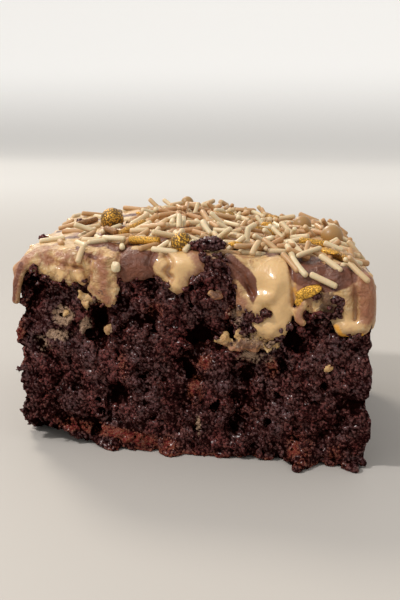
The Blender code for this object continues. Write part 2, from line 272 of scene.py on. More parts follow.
def soft_max(a, b, blend):
    """The larger of two distances, rounded over a blend where they are alike."""
    share = np.clip(0.5 + (b - a) / (2 * blend), 0, 1)
    return a * (1 - share) + b * share + blend * share * (1 - share)


def soft_min(a, b, blend):
    return -soft_max(-a, -b, blend)


def even_x(x, y):
    """The x that a point of the leaning slice has in an even block."""
    return x + LEAN * y


def leaned(p):
    """Where a point of an even block lies in the leaning slice."""
    return Vector((p.x - LEAN * p.y, p.y, p.z))


def half_spans(sizes, skin=0.0):
    """Half the slice's width and depth in mm, with a skin round it."""
    return (sizes.sponge_width / 2 + skin) / MM, (sizes.sponge_depth / 2 + skin) / MM


def places_in(mask, x, y, z):
    """The points of a lattice, given by its sparse axes, where a mask holds."""
    return np.stack([axis[mask] for axis in np.broadcast_arrays(x, y, z)], 1)


class Sampled:
    """A slow function of a place in mm, read once on an even lattice and blended in between."""

    def __init__(self, function, low, high, step):
        self.low, self.step = np.array(low, np.float32), step
        axes = [np.arange(a, b + 2 * step, step) for a, b in zip(low, high)]
        values = [function(*place) for place in itertools.product(*axes)]
        self.values = np.array(values, np.float32).reshape([len(axis) for axis in axes])

    def __call__(self, x, y, z):
        places = np.broadcast_arrays(x, y, z)
        corners, shares = [], []
        for axis, place in enumerate(places):
            at = np.clip((place - self.low[axis]) / self.step, 0, self.values.shape[axis] - 1.001)
            corner = at.astype(np.int32)
            corners.append(corner)
            shares.append((at - corner).astype(np.float32))
        total = np.zeros(places[0].shape, np.float32)
        for step in itertools.product((0, 1), repeat=3):
            weight = 1
            for share, bit in zip(shares, step):
                weight = weight * (share if bit else 1 - share)
            i, j, k = (corner + bit for corner, bit in zip(corners, step))
            total += weight * self.values[i, j, k]
        return total


SCATTER = np.random.default_rng(3).random((8192, 4)).astype(np.float32)


def scattered(cell, salt):
    """The four scattered values of each cell of a lattice."""
    key = (cell[:, 0] * 73856093) ^ (cell[:, 1] * 19349663) ^ (cell[:, 2] * 83492791)
    return SCATTER[(key + salt) & (len(SCATTER) - 1)]


def cells(points, size, salt=0):
    """One seed in each cell of space: the way to the nearest seed, in cells, and that seed's draw."""
    places = (points / size).astype(np.float32)
    base = np.floor(places).astype(np.int64)
    nearest = np.full(len(places), 9, np.float32)
    draw = np.zeros(len(places), np.float32)
    for offset in itertools.product((-1, 0, 1), repeat=3):
        cell = base + offset
        row = scattered(cell, salt)
        away = np.sqrt((((cell + row[:, :3]) - places) ** 2).sum(1))
        closer = away < nearest
        nearest[closer] = away[closer]
        draw[closer] = row[closer, 3]
    return nearest, draw


def rough(points, span, salt):
    """Even noise from -0.5 to 0.5 with this span, blended between scattered values."""
    places = points / span
    base = np.floor(places).astype(np.int64)
    share = smooth(places - base)
    total = np.zeros(len(points), np.float32)
    for offset in itertools.product((0, 1), repeat=3):
        weight = np.prod([share[:, i] if bit else 1 - share[:, i] for i, bit in enumerate(offset)], axis=0)
        total += weight * scattered(base + offset, salt)[:, 3]
    return total - 0.5


def layered(points, layers):
    """Noise of several spans, each layer given as its span, salt and height."""
    return sum(rough(points, span, salt) * height for span, salt, height in layers)


def warped(points, span, salts, reach):
    """Points shifted by noise of their own along each axis."""
    return points + np.stack([rough(points, span, salt) for salt in salts], 1) * reach


def largest_piece(count, faces):
    """A mask of the faces on the piece with the most points."""
    labels = np.arange(count)
    ends = np.concatenate([faces[:, [0, 1]], faces[:, [1, 2]], faces[:, [2, 3]]])
    while True:
        before = labels.copy()
        low = np.minimum(labels[ends[:, 0]], labels[ends[:, 1]])
        np.minimum.at(labels, ends[:, 0], low)
        np.minimum.at(labels, ends[:, 1], low)
        labels = labels[labels]
        if (labels == before).all():
            break
    return labels[faces[:, 0]] == np.bincount(labels).argmax()


def mesh_of(name, points, faces):
    """A mesh from points in metres and four-cornered faces, where a triangle repeats its last corner."""
    mesh = bpy.data.meshes.new(name)
    four = faces[:, 2] != faces[:, 3]
    sizes = np.where(four, 4, 3)
    kept = np.ones(faces.shape, bool)
    kept[:, 3] = four
    corners = faces[kept]
    mesh.vertices.add(len(points))
    mesh.vertices.foreach_set("co", points.astype(np.float32).reshape(-1))
    mesh.loops.add(len(corners))
    mesh.loops.foreach_set("vertex_index", corners.astype(np.int32))
    mesh.polygons.add(len(faces))
    mesh.polygons.foreach_set("loop_start", np.concatenate([[0], np.cumsum(sizes)[:-1]]).astype(np.int32))
    mesh.update(calc_edges=True)
    mesh.shade_smooth()
    return mesh


def mesh_where(name, low, high, step, field, adaptivity, all_pieces=False):
    """A closed mesh around where a field of even places in mm is below 0, and the mesh's even points."""
    axes = [np.arange(a, b + step, step, dtype=np.float32) for a, b in zip(low, high)]
    places = np.meshgrid(*axes, indexing="ij", sparse=True)
    values = np.clip(field(*places), -2, 2).astype(np.float32)
    for axis in range(3):
        for end in (0, -1):
            values[tuple(end if i == axis else slice(None) for i in range(3))] = 2
    grid = openvdb.FloatGrid(2.0)
    grid.copyFromArray(values)
    points, triangles, quads = grid.convertToPolygons(isovalue=0.0, adaptivity=adaptivity)
    faces = np.concatenate([quads, triangles[:, [0, 1, 2, 2]]]).astype(np.int64)
    if not all_pieces:
        faces = faces[largest_piece(len(points), faces)]
    used, faces = np.unique(faces, return_inverse=True)
    points = points[used] * step + np.array(low)
    faces = faces.reshape(-1, 4)
    corner = points[faces]
    volume = np.einsum("ij,ij->i", corner[:, 0], np.cross(corner[:, 1], corner[:, 2])).sum()
    if volume < 0:
        faces = np.where(faces[:, 2:3] == faces[:, 3:], faces[:, [2, 1, 0, 0]], faces[:, ::-1])
    placed = points.copy()
    placed[:, 0] -= LEAN * placed[:, 1]
    return mesh_of(name, placed * MM, faces), points


def set_attribute(mesh, name, values):
    layer = mesh.attributes.new(name, "FLOAT", "POINT")
    layer.data.foreach_set("value", np.asarray(values, np.float32))


def add_piece(name, mesh, material, node):
    """Links a piece, parents it to the root body and hides the solid node it stands for."""
    piece = bpy.data.objects.new(name, mesh)
    bpy.context.scene.collection.objects.link(piece)
    mesh.materials.append(material)
    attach(piece, "root")
    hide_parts(node)


class Wire:
    """A socket in a material; arithmetic on it adds the Math nodes."""

    def __init__(self, maker, socket):
        self.maker, self.socket = maker, socket

    def __add__(self, other):
        return self.maker.math("ADD", self, other)

    __radd__ = __add__

    def __sub__(self, other):
        return self.maker.math("SUBTRACT", self, other)

    def __rsub__(self, other):
        return self.maker.math("SUBTRACT", other, self)

    def __mul__(self, other):
        return self.maker.math("MULTIPLY", self, other)

    __rmul__ = __mul__


class Maker:
    """Makes one material around its Principled shader."""

    def __init__(self, name, **fixed):
        self.material = bpy.data.materials.new(name)
        self.material.use_nodes = True
        self.tree = self.material.node_tree
        self.shader = self.tree.nodes["Principled BSDF"]
        self.finish(**fixed)
        self.place = self.node("ShaderNodeTexCoord", output="Object")

    def feed(self, node, sockets):
        for key, value in sockets.items():
            if isinstance(value, Wire):
                self.tree.links.new(value.socket, node.inputs[key])
            elif hasattr(value, "__len__") and len(node.inputs[key].default_value) == 4:
                node.inputs[key].default_value = (*value[:3], 1)
            else:
                node.inputs[key].default_value = value

    def node(self, kind, settings=None, sockets=None, output=0):
        node = self.tree.nodes.new(kind)
        for key, value in (settings or {}).items():
            setattr(node, key, value)
        self.feed(node, sockets or {})
        return Wire(self, node.outputs[output])

    def math(self, operation, *values):
        return self.node("ShaderNodeMath", {"operation": operation}, dict(enumerate(values)))

    def mix(self, share, first, second):
        settings = {"data_type": "RGBA", "clamp_factor": True}
        return self.node("ShaderNodeMix", settings, {0: share, 6: first, 7: second}, output=2)

    def coated(self, body, *coats):
        """A colour with others laid over it in turn, each given as its share and its tone."""
        for share, tone in coats:
            body = self.mix(share, body, tone)
        return body

    def between(self, value, low, high):
        """0 below low, 1 above high, and an even ease between."""
        settings = {"interpolation_type": "SMOOTHSTEP", "clamp": True}
        return self.node("ShaderNodeMapRange", settings, {"Value": value, "From Min": low, "From Max": high})

    def grain(self, span, detail=2.0, distortion=0.0):
        """Noise from 0 to 1 with features of this span in metres."""
        sockets = {"Vector": self.place, "Scale": 1 / span, "Detail": detail, "Distortion": distortion}
        return self.node("ShaderNodeTexNoise", sockets=sockets)

    def grit(self, span):
        """Small rounded cells: the way to the nearest middle, from 0 to about 1, and each cell's draw."""
        sockets = {"Vector": self.place, "Scale": 1 / span}
        away = self.node("ShaderNodeTexVoronoi", sockets=sockets, output="Distance")
        return away, Wire(self, away.socket.node.outputs["Color"])

    def attribute(self, name):
        return self.node("ShaderNodeAttribute", {"attribute_name": name}, output="Fac")

    def bump(self, height, distance):
        return self.node("ShaderNodeBump", sockets={"Height": height, "Distance": distance})

    def finish(self, **fed):
        names = {key: key.replace("_", " ").title().replace("Ior", "IOR") for key in fed}
        self.feed(self.shader, {names[key]: value for key, value in fed.items()})
        return self.material


def crumb_material(colours):
    make = Maker("moist_crumb", specular_ior_level=0.0, coat_roughness=0.24)
    tint = make.attribute("tint")
    # How deep the crumb lies, read for the painted shade in hollows and between granules
    deep = make.attribute("deep")
    speckle = make.grain(0.4 * MM, detail=3)
    fine = make.grain(0.2 * MM, detail=2)
    grit, draw = make.grit(0.36 * MM)
    # Painted shade in the gaps between the fine grains
    seam = make.between(grit + (speckle - 0.5) * 0.3, 0.35, 0.75)
    tone = make.between(tint * 0.6 + draw * 0.6 + speckle * 0.5 - deep * 0.4 - seam * 0.2, 0.45, 1.3)
    broad = make.grain(6.0 * MM, detail=3)
    wine = make.between(broad + (draw - 0.5) * 0.2, 0.53, 0.64)
    cool = make.between(1 - broad + (draw - 0.5) * 0.2, 0.53, 0.64)
    dry = make.between(draw + speckle - seam * 0.5, 0.4, 1.2)
    baked = make.mix(dry, colours.crumb_wine, colours.crust)
    crust = make.between(make.attribute("crust") + (draw - 0.5) * 0.8, 0.1, 0.75)
    smear = make.between(make.attribute("smear") + (speckle - 0.5) * 0.9 - deep * 0.25, 0.18, 0.5)
    # Where the painted shade colour is laid over the crumb
    shaded = make.between(deep + (speckle - 0.5) * 0.5 + seam * 0.15, 0.35, 0.9)
    body = make.coated(
        make.mix(tone, colours.crumb_dark, colours.crumb_red),
        (wine * tone * 0.8, colours.crumb_wine),
        (cool * tone * 0.6, colours.crumb_cool),
        (crust, baked),
        (smear * 0.85, colours.smear),
        (shaded, colours.crumb_painted_shade),
    )
    wet = make.between(tint * 0.6 + draw * 0.8, 0.6, 1.1) * (1 - make.between(deep, 0.3, 0.7))
    return make.finish(
        base_color=body,
        roughness=0.5 + 0.4 * speckle,
        coat_weight=wet * 0.7,
        normal=make.bump(fine * 0.5 + speckle - 1.6 * grit, 0.2 * MM),
    )


def frosting_material(colours):
    make = Maker(
        "swirled_frosting",
        subsurface_weight=0.12,
        subsurface_radius=(1.0, 0.55, 0.25),
        subsurface_scale=1.0 * MM,
        specular_ior_level=0.45,
        coat_roughness=0.1,
    )
    glossy = make.attribute("glossy")
    dull = 1 - make.between(glossy, 0.1, 0.6)
    wander = make.grain(1.6 * MM, detail=4) - 0.5
    broad = make.grain(4.5 * MM, detail=4, distortion=1.2)
    streak = make.grain(2.6 * MM, detail=5, distortion=2.2)
    speck = make.grain(0.7 * MM, detail=3)
    thin = make.mix(make.between(broad, 0.35, 0.65), colours.putty, colours.caramel_deep)
    thick = make.between(glossy + broad * 0.5, 0.35, 0.85)
    pale = make.between(1 - streak + (speck - 0.5) * 0.5, 0.52, 0.68)
    veins = make.between(streak + (speck - 0.5) * 0.4, 0.5, 0.66) * (0.1 + 0.45 * dull)
    # Rust streaks, and the painted shade along the creases
    rust_and_crease_shade = 1 - make.between(make.attribute("rust_and_crease_shade") + wander * 2.6 + (speck - 0.5) * 1.2, -0.6, 1.0)
    brown = 1 - make.between(make.attribute("chocolate") + wander * 0.9, -0.1, 0.25)
    milk = make.mix(make.between(broad, 0.4, 0.65), colours.chocolate, colours.chocolate_dark)
    amber = 1 - make.between(make.attribute("amber") + wander * 0.5, -0.1, 0.4)
    stain = make.between(make.attribute("stain") + (speck - 0.5) * 1.5 + (streak - 0.5) * 0.6, 0.42, 0.75)
    body = make.coated(
        make.mix(thick, thin, colours.caramel),
        (pale * dull * 0.35, colours.cream),
        (veins, colours.rust_and_crease_shade),
        (rust_and_crease_shade * 0.85, colours.rust_and_crease_shade),
        (brown, milk),
        (amber * 0.85, colours.amber),
        (stain * 0.85, colours.crumb_stain),
    )
    return make.finish(
        base_color=body,
        roughness=0.42 - 0.2 * glossy + 0.18 * speck,
        coat_weight=make.between(glossy, 0.1, 0.7) * (1 - brown * 0.7),
        normal=make.bump((speck * 1.2 + streak * 1.6) * (0.15 + dull) + streak * 0.4, 0.22 * MM),
    )


def sugar_material(name, light, dark):
    """Matte sugar whose tint runs from dark to light between sprinkles."""
    make = Maker(name, subsurface_weight=0.1, subsurface_scale=0.8 * MM, coat_roughness=0.3)
    speckle = make.grain(0.35 * MM, detail=3)
    body = make.mix(make.attribute("tint") * 0.9 + speckle * 0.2, dark, light)
    return make.finish(
        base_color=body,
        roughness=0.42 + 0.2 * speckle,
        coat_weight=make.between(make.attribute("tint"), 0.6, 0.9) * 0.35,
        normal=make.bump(speckle, 0.05 * MM),
    )


def glitter_material(name, light, dark, flake, metallic, gaps=(0.6, 1.0), depth=0.75):
    """Metal dust on sugar: dark between the flakes."""
    make = Maker(name, specular_ior_level=0.3)
    flakes, _ = make.grit(flake)
    dust = make.grain(0.5 * MM, detail=4)
    gap = make.between(flakes + dust * 0.5, *gaps)
    shade = make.mix(make.attribute("tint"), dark, light)
    body = make.mix(gap * depth, shade, tuple(c * 0.2 for c in dark))
    return make.finish(
        base_color=body,
        metallic=metallic * (1 - gap * 0.85),
        roughness=0.3 + 0.25 * dust,
        normal=make.bump(1 - flakes, 0.10 * MM),
    )


# Shape functions shared by the pieces: the same as in the solids


def crag(x, y, z):
    """How far the torn crumb stands out at a place in mm, in mm."""
    p = Vector((x, y, z)) * MM
    broad = noise.noise(p / CRAG_SPAN) * CRAG_DEPTH
    fine = noise.noise(p / GRIT_SPAN + Vector((7, 3, 1))) * GRIT_DEPTH
    return (broad + fine + MEAN_PROUD) / MM


def hollow_depth(x, z):
    depth = 0
    for middle_x, middle_z, half_x, half_z, deep in HOLLOWS:
        away = np.hypot((x - middle_x) / half_x, (z - middle_z) / half_z)
        depth = np.maximum(depth, deep * falloff(away, HOLLOW_REACH))
    return depth


def foot_reach(x, z):
    reach = 0
    for middle, half_width, height, out in FOOT_CRUMBS:
        reach = np.maximum(reach, out * falloff(np.abs(x - middle), half_width) * falloff(z, height))
    return reach


def drips(sizes):
    """Every place where the frosting runs down: x and y on the rim, half width, drop."""
    width, depth = sizes.sponge_width, sizes.sponge_depth
    made = [(x * MM, -depth / 2 - SKIN, w * MM, d * MM) for x, w, d in FRONT_DRIPS]
    draw = random.Random(SIDE_DRIP_SEED)
    half_w, half_d = width / 2 + SKIN, depth / 2 + SKIN
    corners = [(half_w, -half_d), (half_w, half_d), (-half_w, half_d), (-half_w, -half_d)]
    for (x0, y0), (x1, y1) in zip(corners, corners[1:]):
        count = round(math.hypot(x1 - x0, y1 - y0) / SIDE_DRIP_PITCH)
        for i in range(count):
            t = (i + draw.uniform(0.3, 0.7)) / count
            drop = draw.uniform(*SIDE_DRIP_DROPS)
            half_width = draw.uniform(*SIDE_DRIP_HALF_WIDTHS)
            made.append((x0 + (x1 - x0) * t, y0 + (y1 - y0) * t, half_width, drop))
    return made


def swell(x, y, sizes):
    """How far the frosting's top stands over its level at x, y of the even block, in metres."""
    run = RIDGE_AT_FACE + (1 - RIDGE_AT_FACE) * float(smooth((y + sizes.sponge_depth / 2) / RIDGE_RUN))
    ridge = RIDGE_HEIGHT * run * math.exp(-(((x - RIDGE_X) / RIDGE_SPAN) ** 2))
    swirl = SWIRL_HEIGHT * noise.noise(Vector((x, y, 0)) / SWIRL_SPAN)
    right = SHOULDER_DROP * float(smooth((x - SHOULDER_X) / SHOULDER_RUN))
    at_face = 1 - float(smooth((y + sizes.sponge_depth / 2) / LEFT_CORNER_RUN))
    left = (LEFT_SHOULDER_DROP + LEFT_CORNER_DROP * at_face) * float(smooth((-x - SHOULDER_X) / SHOULDER_RUN))
    return ridge + swirl + TOP_TILT * x - right - left


def top_height(x, y, sizes):
    """The height of the frosting's top at x, y of the slice, rounded down to its rim."""
    x = even_x(x, y)
    over_x = max(0.0, abs(x) - (sizes.sponge_width / 2 + SKIN - EDGE_RADIUS))
    over_y = max(0.0, abs(y) - (sizes.sponge_depth / 2 + SKIN - EDGE_RADIUS))
    over = min(EDGE_RADIUS, math.hypot(over_x, over_y))
    return TOP_LEVEL + swell(x, y, sizes) - EDGE_RADIUS + math.sqrt(EDGE_RADIUS**2 - over**2)


def rim_spot(x, z, radius, sizes):
    """The point on the front rim, raised by a radius, at this x and height of the shown face."""
    front = sizes.sponge_depth / 2 + SKIN - EDGE_RADIUS
    up = max(0.0, z - (TOP_LEVEL + swell(x, -front, sizes) - EDGE_RADIUS))
    out = math.sqrt(max(0.0, EDGE_RADIUS**2 - up**2)) + radius * (1 - 2 * SUNK)
    return leaned(Vector((x, -front - out, z)))


# The crumb's own relief: granules, lumps of them, and pores
LUMP_SPAN = 2.3
LUMP_RELIEF = 1.5
LUMP_WARP = 1.8
CLOD_SPAN = 5.2
CLOD_RELIEF = 1.5
PORE_SPAN = 4.0
PORE_WARP = 2.4
PORE_SIZES = (0.04, 0.34)
GRANULE_RELIEF = 0.85
GRANULE_GRIT = ((0.45, 5, 0.35),)
TORN_GRIT = ((1.5, 6, 0.6),)
DETAIL_BAND = 2.6
LUMP_MARGIN = 1.5
SPONGE_REACH = 35.5
# How much a mesh's flat places are thinned
CRUMB_THINNING = 0.01
FROSTING_THINNING = 0.006
FACE_THICKNESS = 2.4
FACE_LAP = 0.15
WALL_BLEND = 0.8
SPONGE_LIMIT = 34.15
# Torn crumb that lies over the frosting's front: middle x, y, z and half sizes
LAPPED_CRUMB = (
    (5.0, -30.4, 33.2, 2.7, 1.7, 4.2),
    (7.2, -30.2, 30.6, 2.3, 1.4, 2.2),
    (3.2, -30.2, 31.0, 2.2, 1.4, 2.4),
    (10.0, -30.0, 25.2, 1.8, 0.7, 1.1),
)
# Crumbs that fell on the frosting: middle x, y, z of the even block and half sizes
FALLEN_CRUMBS = (
    (4.4, -28.3, 40.0, 2.7, 1.5, 1.3),
    (1.9, -28.5, 39.6, 1.5, 1.1, 0.9),
    (11.4, -31.0, 27.5, 1.0, 0.9, 0.8),
    (14.6, -31.6, 28.3, 1.1, 0.8, 0.8),
    (13.0, -31.3, 26.9, 1.0, 0.7, 0.6),
    (12.2, -31.2, 25.1, 0.7, 0.6, 0.6),
    (17.4, -31.7, 25.3, 0.35, 0.3, 0.35),
    (9.9, -30.8, 28.9, 0.6, 0.6, 0.6),
    (23.6, -30.7, 31.6, 0.9, 0.7, 0.7),
    (27.0, -30.7, 31.2, 1.4, 0.8, 0.9),
    (27.6, -30.7, 29.4, 0.9, 0.7, 0.9),
    (24.4, -30.7, 28.4, 1.1, 0.7, 0.6),
    (26.3, -30.7, 28.2, 0.8, 0.7, 0.6),
    (19.0, -30.9, 26.0, 0.6, 0.6, 0.6),
    (-33.0, -7.0, 37.0, 0.9, 0.9, 0.7),
    (-27.8, 10.0, 38.5, 0.8, 0.9, 0.6),
)
# Loose specks of crumb on the shown frosting: x from and to, z from and to, middle y, count and
# largest half size
SPECK_FIELDS = (
    (8.6, 15.0, 24.6, 30.0, -30.9, 9, 0.45),
    (21.6, 29.0, 26.8, 33.2, -30.7, 16, 0.6),
    (4.0, 19.0, 20.8, 24.4, -30.5, 22, 0.45),
    (-20.6, -13.6, 27.8, 33.0, -30.5, 14, 0.45),
    (-31.0, -20.0, 31.6, 34.0, -30.6, 8, 0.4),
    (1.0, 7.4, 37.0, 38.6, -29.4, 12, 0.5),
)
LIP_SPECKS = 70
SPECK_LEAST = 0.22


def specks():
    """Ellipsoids of the loose specks: in their fields, and along the frosting's lower edge."""
    draw = random.Random(23)
    made = []
    for low_x, high_x, low_z, high_z, y, count, most in SPECK_FIELDS:
        for _ in range(count):
            size = draw.uniform(SPECK_LEAST, most)
            made.append((draw.uniform(low_x, high_x), y, draw.uniform(low_z, high_z), size, size, size * 0.8))
    lip_x, lip_z = np.array(FRONT_LIP).T
    for _ in range(LIP_SPECKS):
        x, size = draw.uniform(-31, 33), draw.uniform(SPECK_LEAST, 0.75)
        z = float(np.interp(x, lip_x, lip_z)) + draw.uniform(-0.4, 0.8)
        made.append((x, -30.4, z, size, size, size * 0.8))
    return made


def ellipsoid(x, y, z, lump):
    cx, cy, cz, rx, ry, rz = lump
    away = np.sqrt(((x - cx) / rx) ** 2 + ((y - cy) / ry) ** 2 + ((z - cz) / rz) ** 2)
    return (away - 1) * min(rx, ry, rz)


def lumpiness(points):
    """How far lumps and clods of crumb stand out, in mm, and the draw of each lump."""
    stirred = warped(points, 1.7, (41, 42, 43), LUMP_WARP)
    lumps, draws = cells(stirred, LUMP_SPAN, salt=11)
    clods, _ = cells(stirred, CLOD_SPAN, salt=19)
    return (0.5 - lumps) * LUMP_RELIEF * (0.5 + draws) + (0.5 - clods) * CLOD_RELIEF, draws


def granular(distance, x, y, z, granule, torn):
    """Turns the smooth skin of a field into granules and, where it is torn, into lumps with pores."""
    near = np.abs(distance) < DETAIL_BAND
    points = places_in(near, x, y, z)
    grains, draws = cells(points, granule)
    relief = (0.6 - grains) * granule * GRANULE_RELIEF * (0.6 + 0.9 * draws)
    relief += layered(points, GRANULE_GRIT)
    distance = distance.copy()
    if torn:
        relief += lumpiness(points)[0] + layered(points, TORN_GRIT)
        holes, hole_draws = cells(warped(points, 2.2, (44, 45, 46), PORE_WARP), PORE_SPAN, salt=29)
        least, more = PORE_SIZES
        carved = (least + more * hole_draws**2 - holes) * PORE_SPAN
        distance[near] = np.maximum(distance[near] - relief, carved)
    else:
        distance[near] -= relief
    return distance


def sponge_field(sizes, crag_at, back_only):
    """The crumb's distance field in mm of the even block, for the shown face or for all the rest."""
    half_w, half_d = half_spans(sizes)
    height, granule = sizes.sponge_height / MM, sizes.granule / MM
    seam = -half_d + FACE_THICKNESS

    def field(x, y, z):
        covered = smooth((z - COVERED_FROM) / COVER_EASE)
        proud = np.minimum(crag_at(x, y, z), MOST_PROUD * (1 - covered))
        side = np.abs(x) - half_w
        front = -y - half_d + hollow_depth(x, z) - foot_reach(x, z)
        wall = soft_max(np.maximum(side, y - half_d), front, WALL_BLEND) - proud
        rise = CORNER_RISE * falloff(x + half_w, CORNER_REACH) * falloff(y + half_d, CORNER_DEPTH)
        distance = np.maximum(np.maximum(wall, rise - z), z - height)
        if not back_only:
            for lump in LAPPED_CRUMB:
                distance = np.minimum(distance, ellipsoid(x, y, z, lump))
        distance = granular(distance, x, y, z, granule, torn=True)
        distance = np.maximum(distance, np.maximum(np.abs(x) - SPONGE_LIMIT, -z + 0.02))
        distance = in_box(distance, x, y)
        if back_only:
            return np.maximum(distance, np.maximum(seam - FACE_LAP - y, z - height))
        return np.maximum(distance, y - seam)

    return field


def with_lumps(distance, x, y, z, lumps):
    """Adds ellipsoids to a field; each changes only what lies near it."""
    for lump in lumps:
        spans = []
        for axis, middle in zip((x, y, z), lump):
            near = np.flatnonzero(np.abs(axis.ravel() - middle) < max(lump[3:]) + LUMP_MARGIN)
            spans.append(slice(near[0], near[-1] + 1))
        i, j, k = spans
        distance[i, j, k] = np.minimum(distance[i, j, k], ellipsoid(x[i], y[:, j], z[:, :, k], lump))
    return distance


def crumbs_field(granule):
    def field(x, y, z):
        distance = np.full(np.broadcast_shapes(x.shape, y.shape, z.shape), 9.0, np.float32)
        distance = with_lumps(distance, x, y, z, FALLEN_CRUMBS + tuple(specks()))
        return granular(distance, x, y, z, granule, torn=False)

    return field


def sponge_traits(mesh, points, sizes, loose=False):
    """Writes what the crumb's material reads: the granule's draw, how deep it lies for the painted shade,
    crust and smears.
    """
    half_w, half_d = half_spans(sizes)
    x, y, z = points.T
    grains, draws = cells(points, sizes.granule / MM)
    relief, lump_draws = lumpiness(points)
    tint = 0.5 * draws + 0.4 * lump_draws + 0.12 + 0.5 * rough(points, 9, 3) + 0.25 * loose
    set_attribute(mesh, "tint", np.clip(tint, 0, 1))
    out = np.maximum(np.maximum(np.abs(x) - half_w, y - half_d), -y - half_d) * (not loose)
    # Painted shade: darker the further in from the shown face, between the granules and down between the
    # lumps
    deep = smooth((-out + 0.3) / 2.4) * 0.7 + smooth((grains - 0.4) / 0.4) * 0.6
    deep += smooth(-relief / 0.9) * 0.35
    set_attribute(mesh, "deep", np.clip(deep, 0, 1.4))
    band = falloff(np.abs(z - (3.0 - 0.12 * (x + 15))), 1.9) * smooth((x + 28) / 4) * falloff(x + 9, 10)
    foot = np.maximum(band * (y < -half_d + 3), falloff(z, 1.3) * 0.5)
    foot = np.maximum(foot, spread(x, z, RUDDY) * (y < -half_d + 3))
    set_attribute(mesh, "crust", np.clip(foot * (1 + rough(points, 1.8, 9) * 2.4), 0, 1))
    smear = spread(x, z, SMEARS) * (y < -half_d + 2)
    set_attribute(mesh, "smear", np.clip(smear + rough(points, 1.6, 13) * 0.6, 0, 1) * (smear > 0.02))


# Frosting rubbed into the shown crumb: middle x and z, half width, half height, strength
SMEARS = (
    (-24.5, 25.4, 3.6, 3.0, 0.95),
    (-25.6, 21.8, 4.4, 2.0, 0.85),
    (-19.9, 23.8, 1.8, 2.4, 0.95),
    (-28.6, 20.0, 3.0, 4.0, 0.4),
    (-18.6, 28.8, 2.0, 1.6, 0.8),
    (-15.0, 23.4, 1.2, 1.3, 0.9),
    (12.0, 22.6, 7.6, 2.6, 1.0),
    (12.4, 19.8, 6.4, 2.6, 0.55),
    (9.6, 28.0, 2.4, 3.6, 0.6),
    (5.8, 31.4, 1.0, 0.9, 1.0),
    (26.1, 18.4, 1.2, 1.2, 0.7),
    (2.1, 6.4, 0.8, 3.0, 0.6),
    (24.6, 26.4, 3.0, 1.4, 0.4),
    (-31.6, 27.6, 1.6, 2.0, 0.5),
    (4.9, 17.6, 1.4, 1.2, 0.35),
)


# Redder, drier crumb on the shown face: middle x and z, half width, half height, strength
RUDDY = (
    (21.0, 3.0, 3.6, 4.4, 0.65),
    (27.0, 2.0, 4.0, 3.0, 0.45),
    (2.8, 18.4, 3.0, 3.4, 0.8),
    (1.6, 12.6, 2.2, 4.0, 0.8),
    (-12.6, 16.6, 1.6, 3.4, 0.6),
    (8.0, 27.6, 2.0, 3.4, 0.6),
    (16.0, 17.6, 2.4, 3.6, 0.45),
    (-33.6, 21.0, 2.4, 9.0, 0.7),
    (-4.2, 2.0, 4.2, 2.4, 0.5),
    (-16.6, 28.6, 3.0, 2.6, 0.6),
    (-32.6, 26.6, 2.4, 1.4, 0.6),
    (-6.0, 27.6, 3.0, 2.6, 0.35),
    (12.0, 9.0, 3.4, 2.4, 0.3),
)


class CAKE_OT_sponge(bpy.types.Operator):
    """Makes the torn sponge: its shown face finely, and the rest of it"""

    bl_idname = "cake.sponge"
    bl_label = "Sponge"

    def execute(self, context):
        sizes = context.scene.cake_sizes
        material = crumb_material(context.scene.cake_colours)
        half_w, half_d = half_spans(sizes)
        crag_at = Sampled(crag, (-half_w - 2, -half_d - 6, 0), (half_w + 2, half_d + 6, 40), 1.3)
        boxes = {
            "sponge_face": (-half_d - 6, -half_d + 3.2, 40, sizes.face_step, False),
            "sponge_body": (-half_d, half_d + 3, 34, sizes.body_step, True),
        }
        for name, (front, back, top, step, back_only) in boxes.items():
            low, high = (-SPONGE_REACH, front, -1), (SPONGE_REACH, back, top)
            field = sponge_field(sizes, crag_at, back_only)
            mesh, points = mesh_where(name, low, high, step / MM, field, CRUMB_THINNING)
            sponge_traits(mesh, points, sizes)
            add_piece(name, mesh, material, "sponge")
        return {"FINISHED"}


# The frosting's lower edge on the shown face: x and z
FRONT_LIP = (
    ((-35.1, 28.2), (-34.3, 27.0), (-33.5, 27.4), (-32.9, 29.4), (-32.5, 32.4), (-31.4, 34.4))
    + ((-29.8, 34.6), (-27.8, 33.0), (-26.4, 32.3), (-25.7, 31.1), (-24.8, 32.0), (-22.9, 31.3))
    + ((-20.5, 32.1), (-19.3, 31.6), (-18.2, 29.0), (-15.8, 28.0), (-14.7, 27.8), (-13.7, 28.8))
    + ((-12.3, 32.3), (-10.7, 32.9), (-5.9, 33.5), (-4.0, 32.5), (-1.8, 30.9), (-0.6, 31.4))
    + ((0.8, 33.2), (2.6, 34.0), (6.4, 34.2), (7.9, 33.2), (9.0, 31.6), (9.0, 26.6), (11.8, 26.4))
    + ((13.6, 24.1), (14.9, 23.2), (16.7, 23.1), (18.0, 23.8), (19.2, 26.8), (19.6, 29.0))
    + ((21.8, 29.1), (22.9, 28.0), (25.8, 27.3), (26.9, 26.4), (27.8, 24.8), (30.2, 24.2))
    + ((32.8, 25.6), (35.2, 26.7))
)
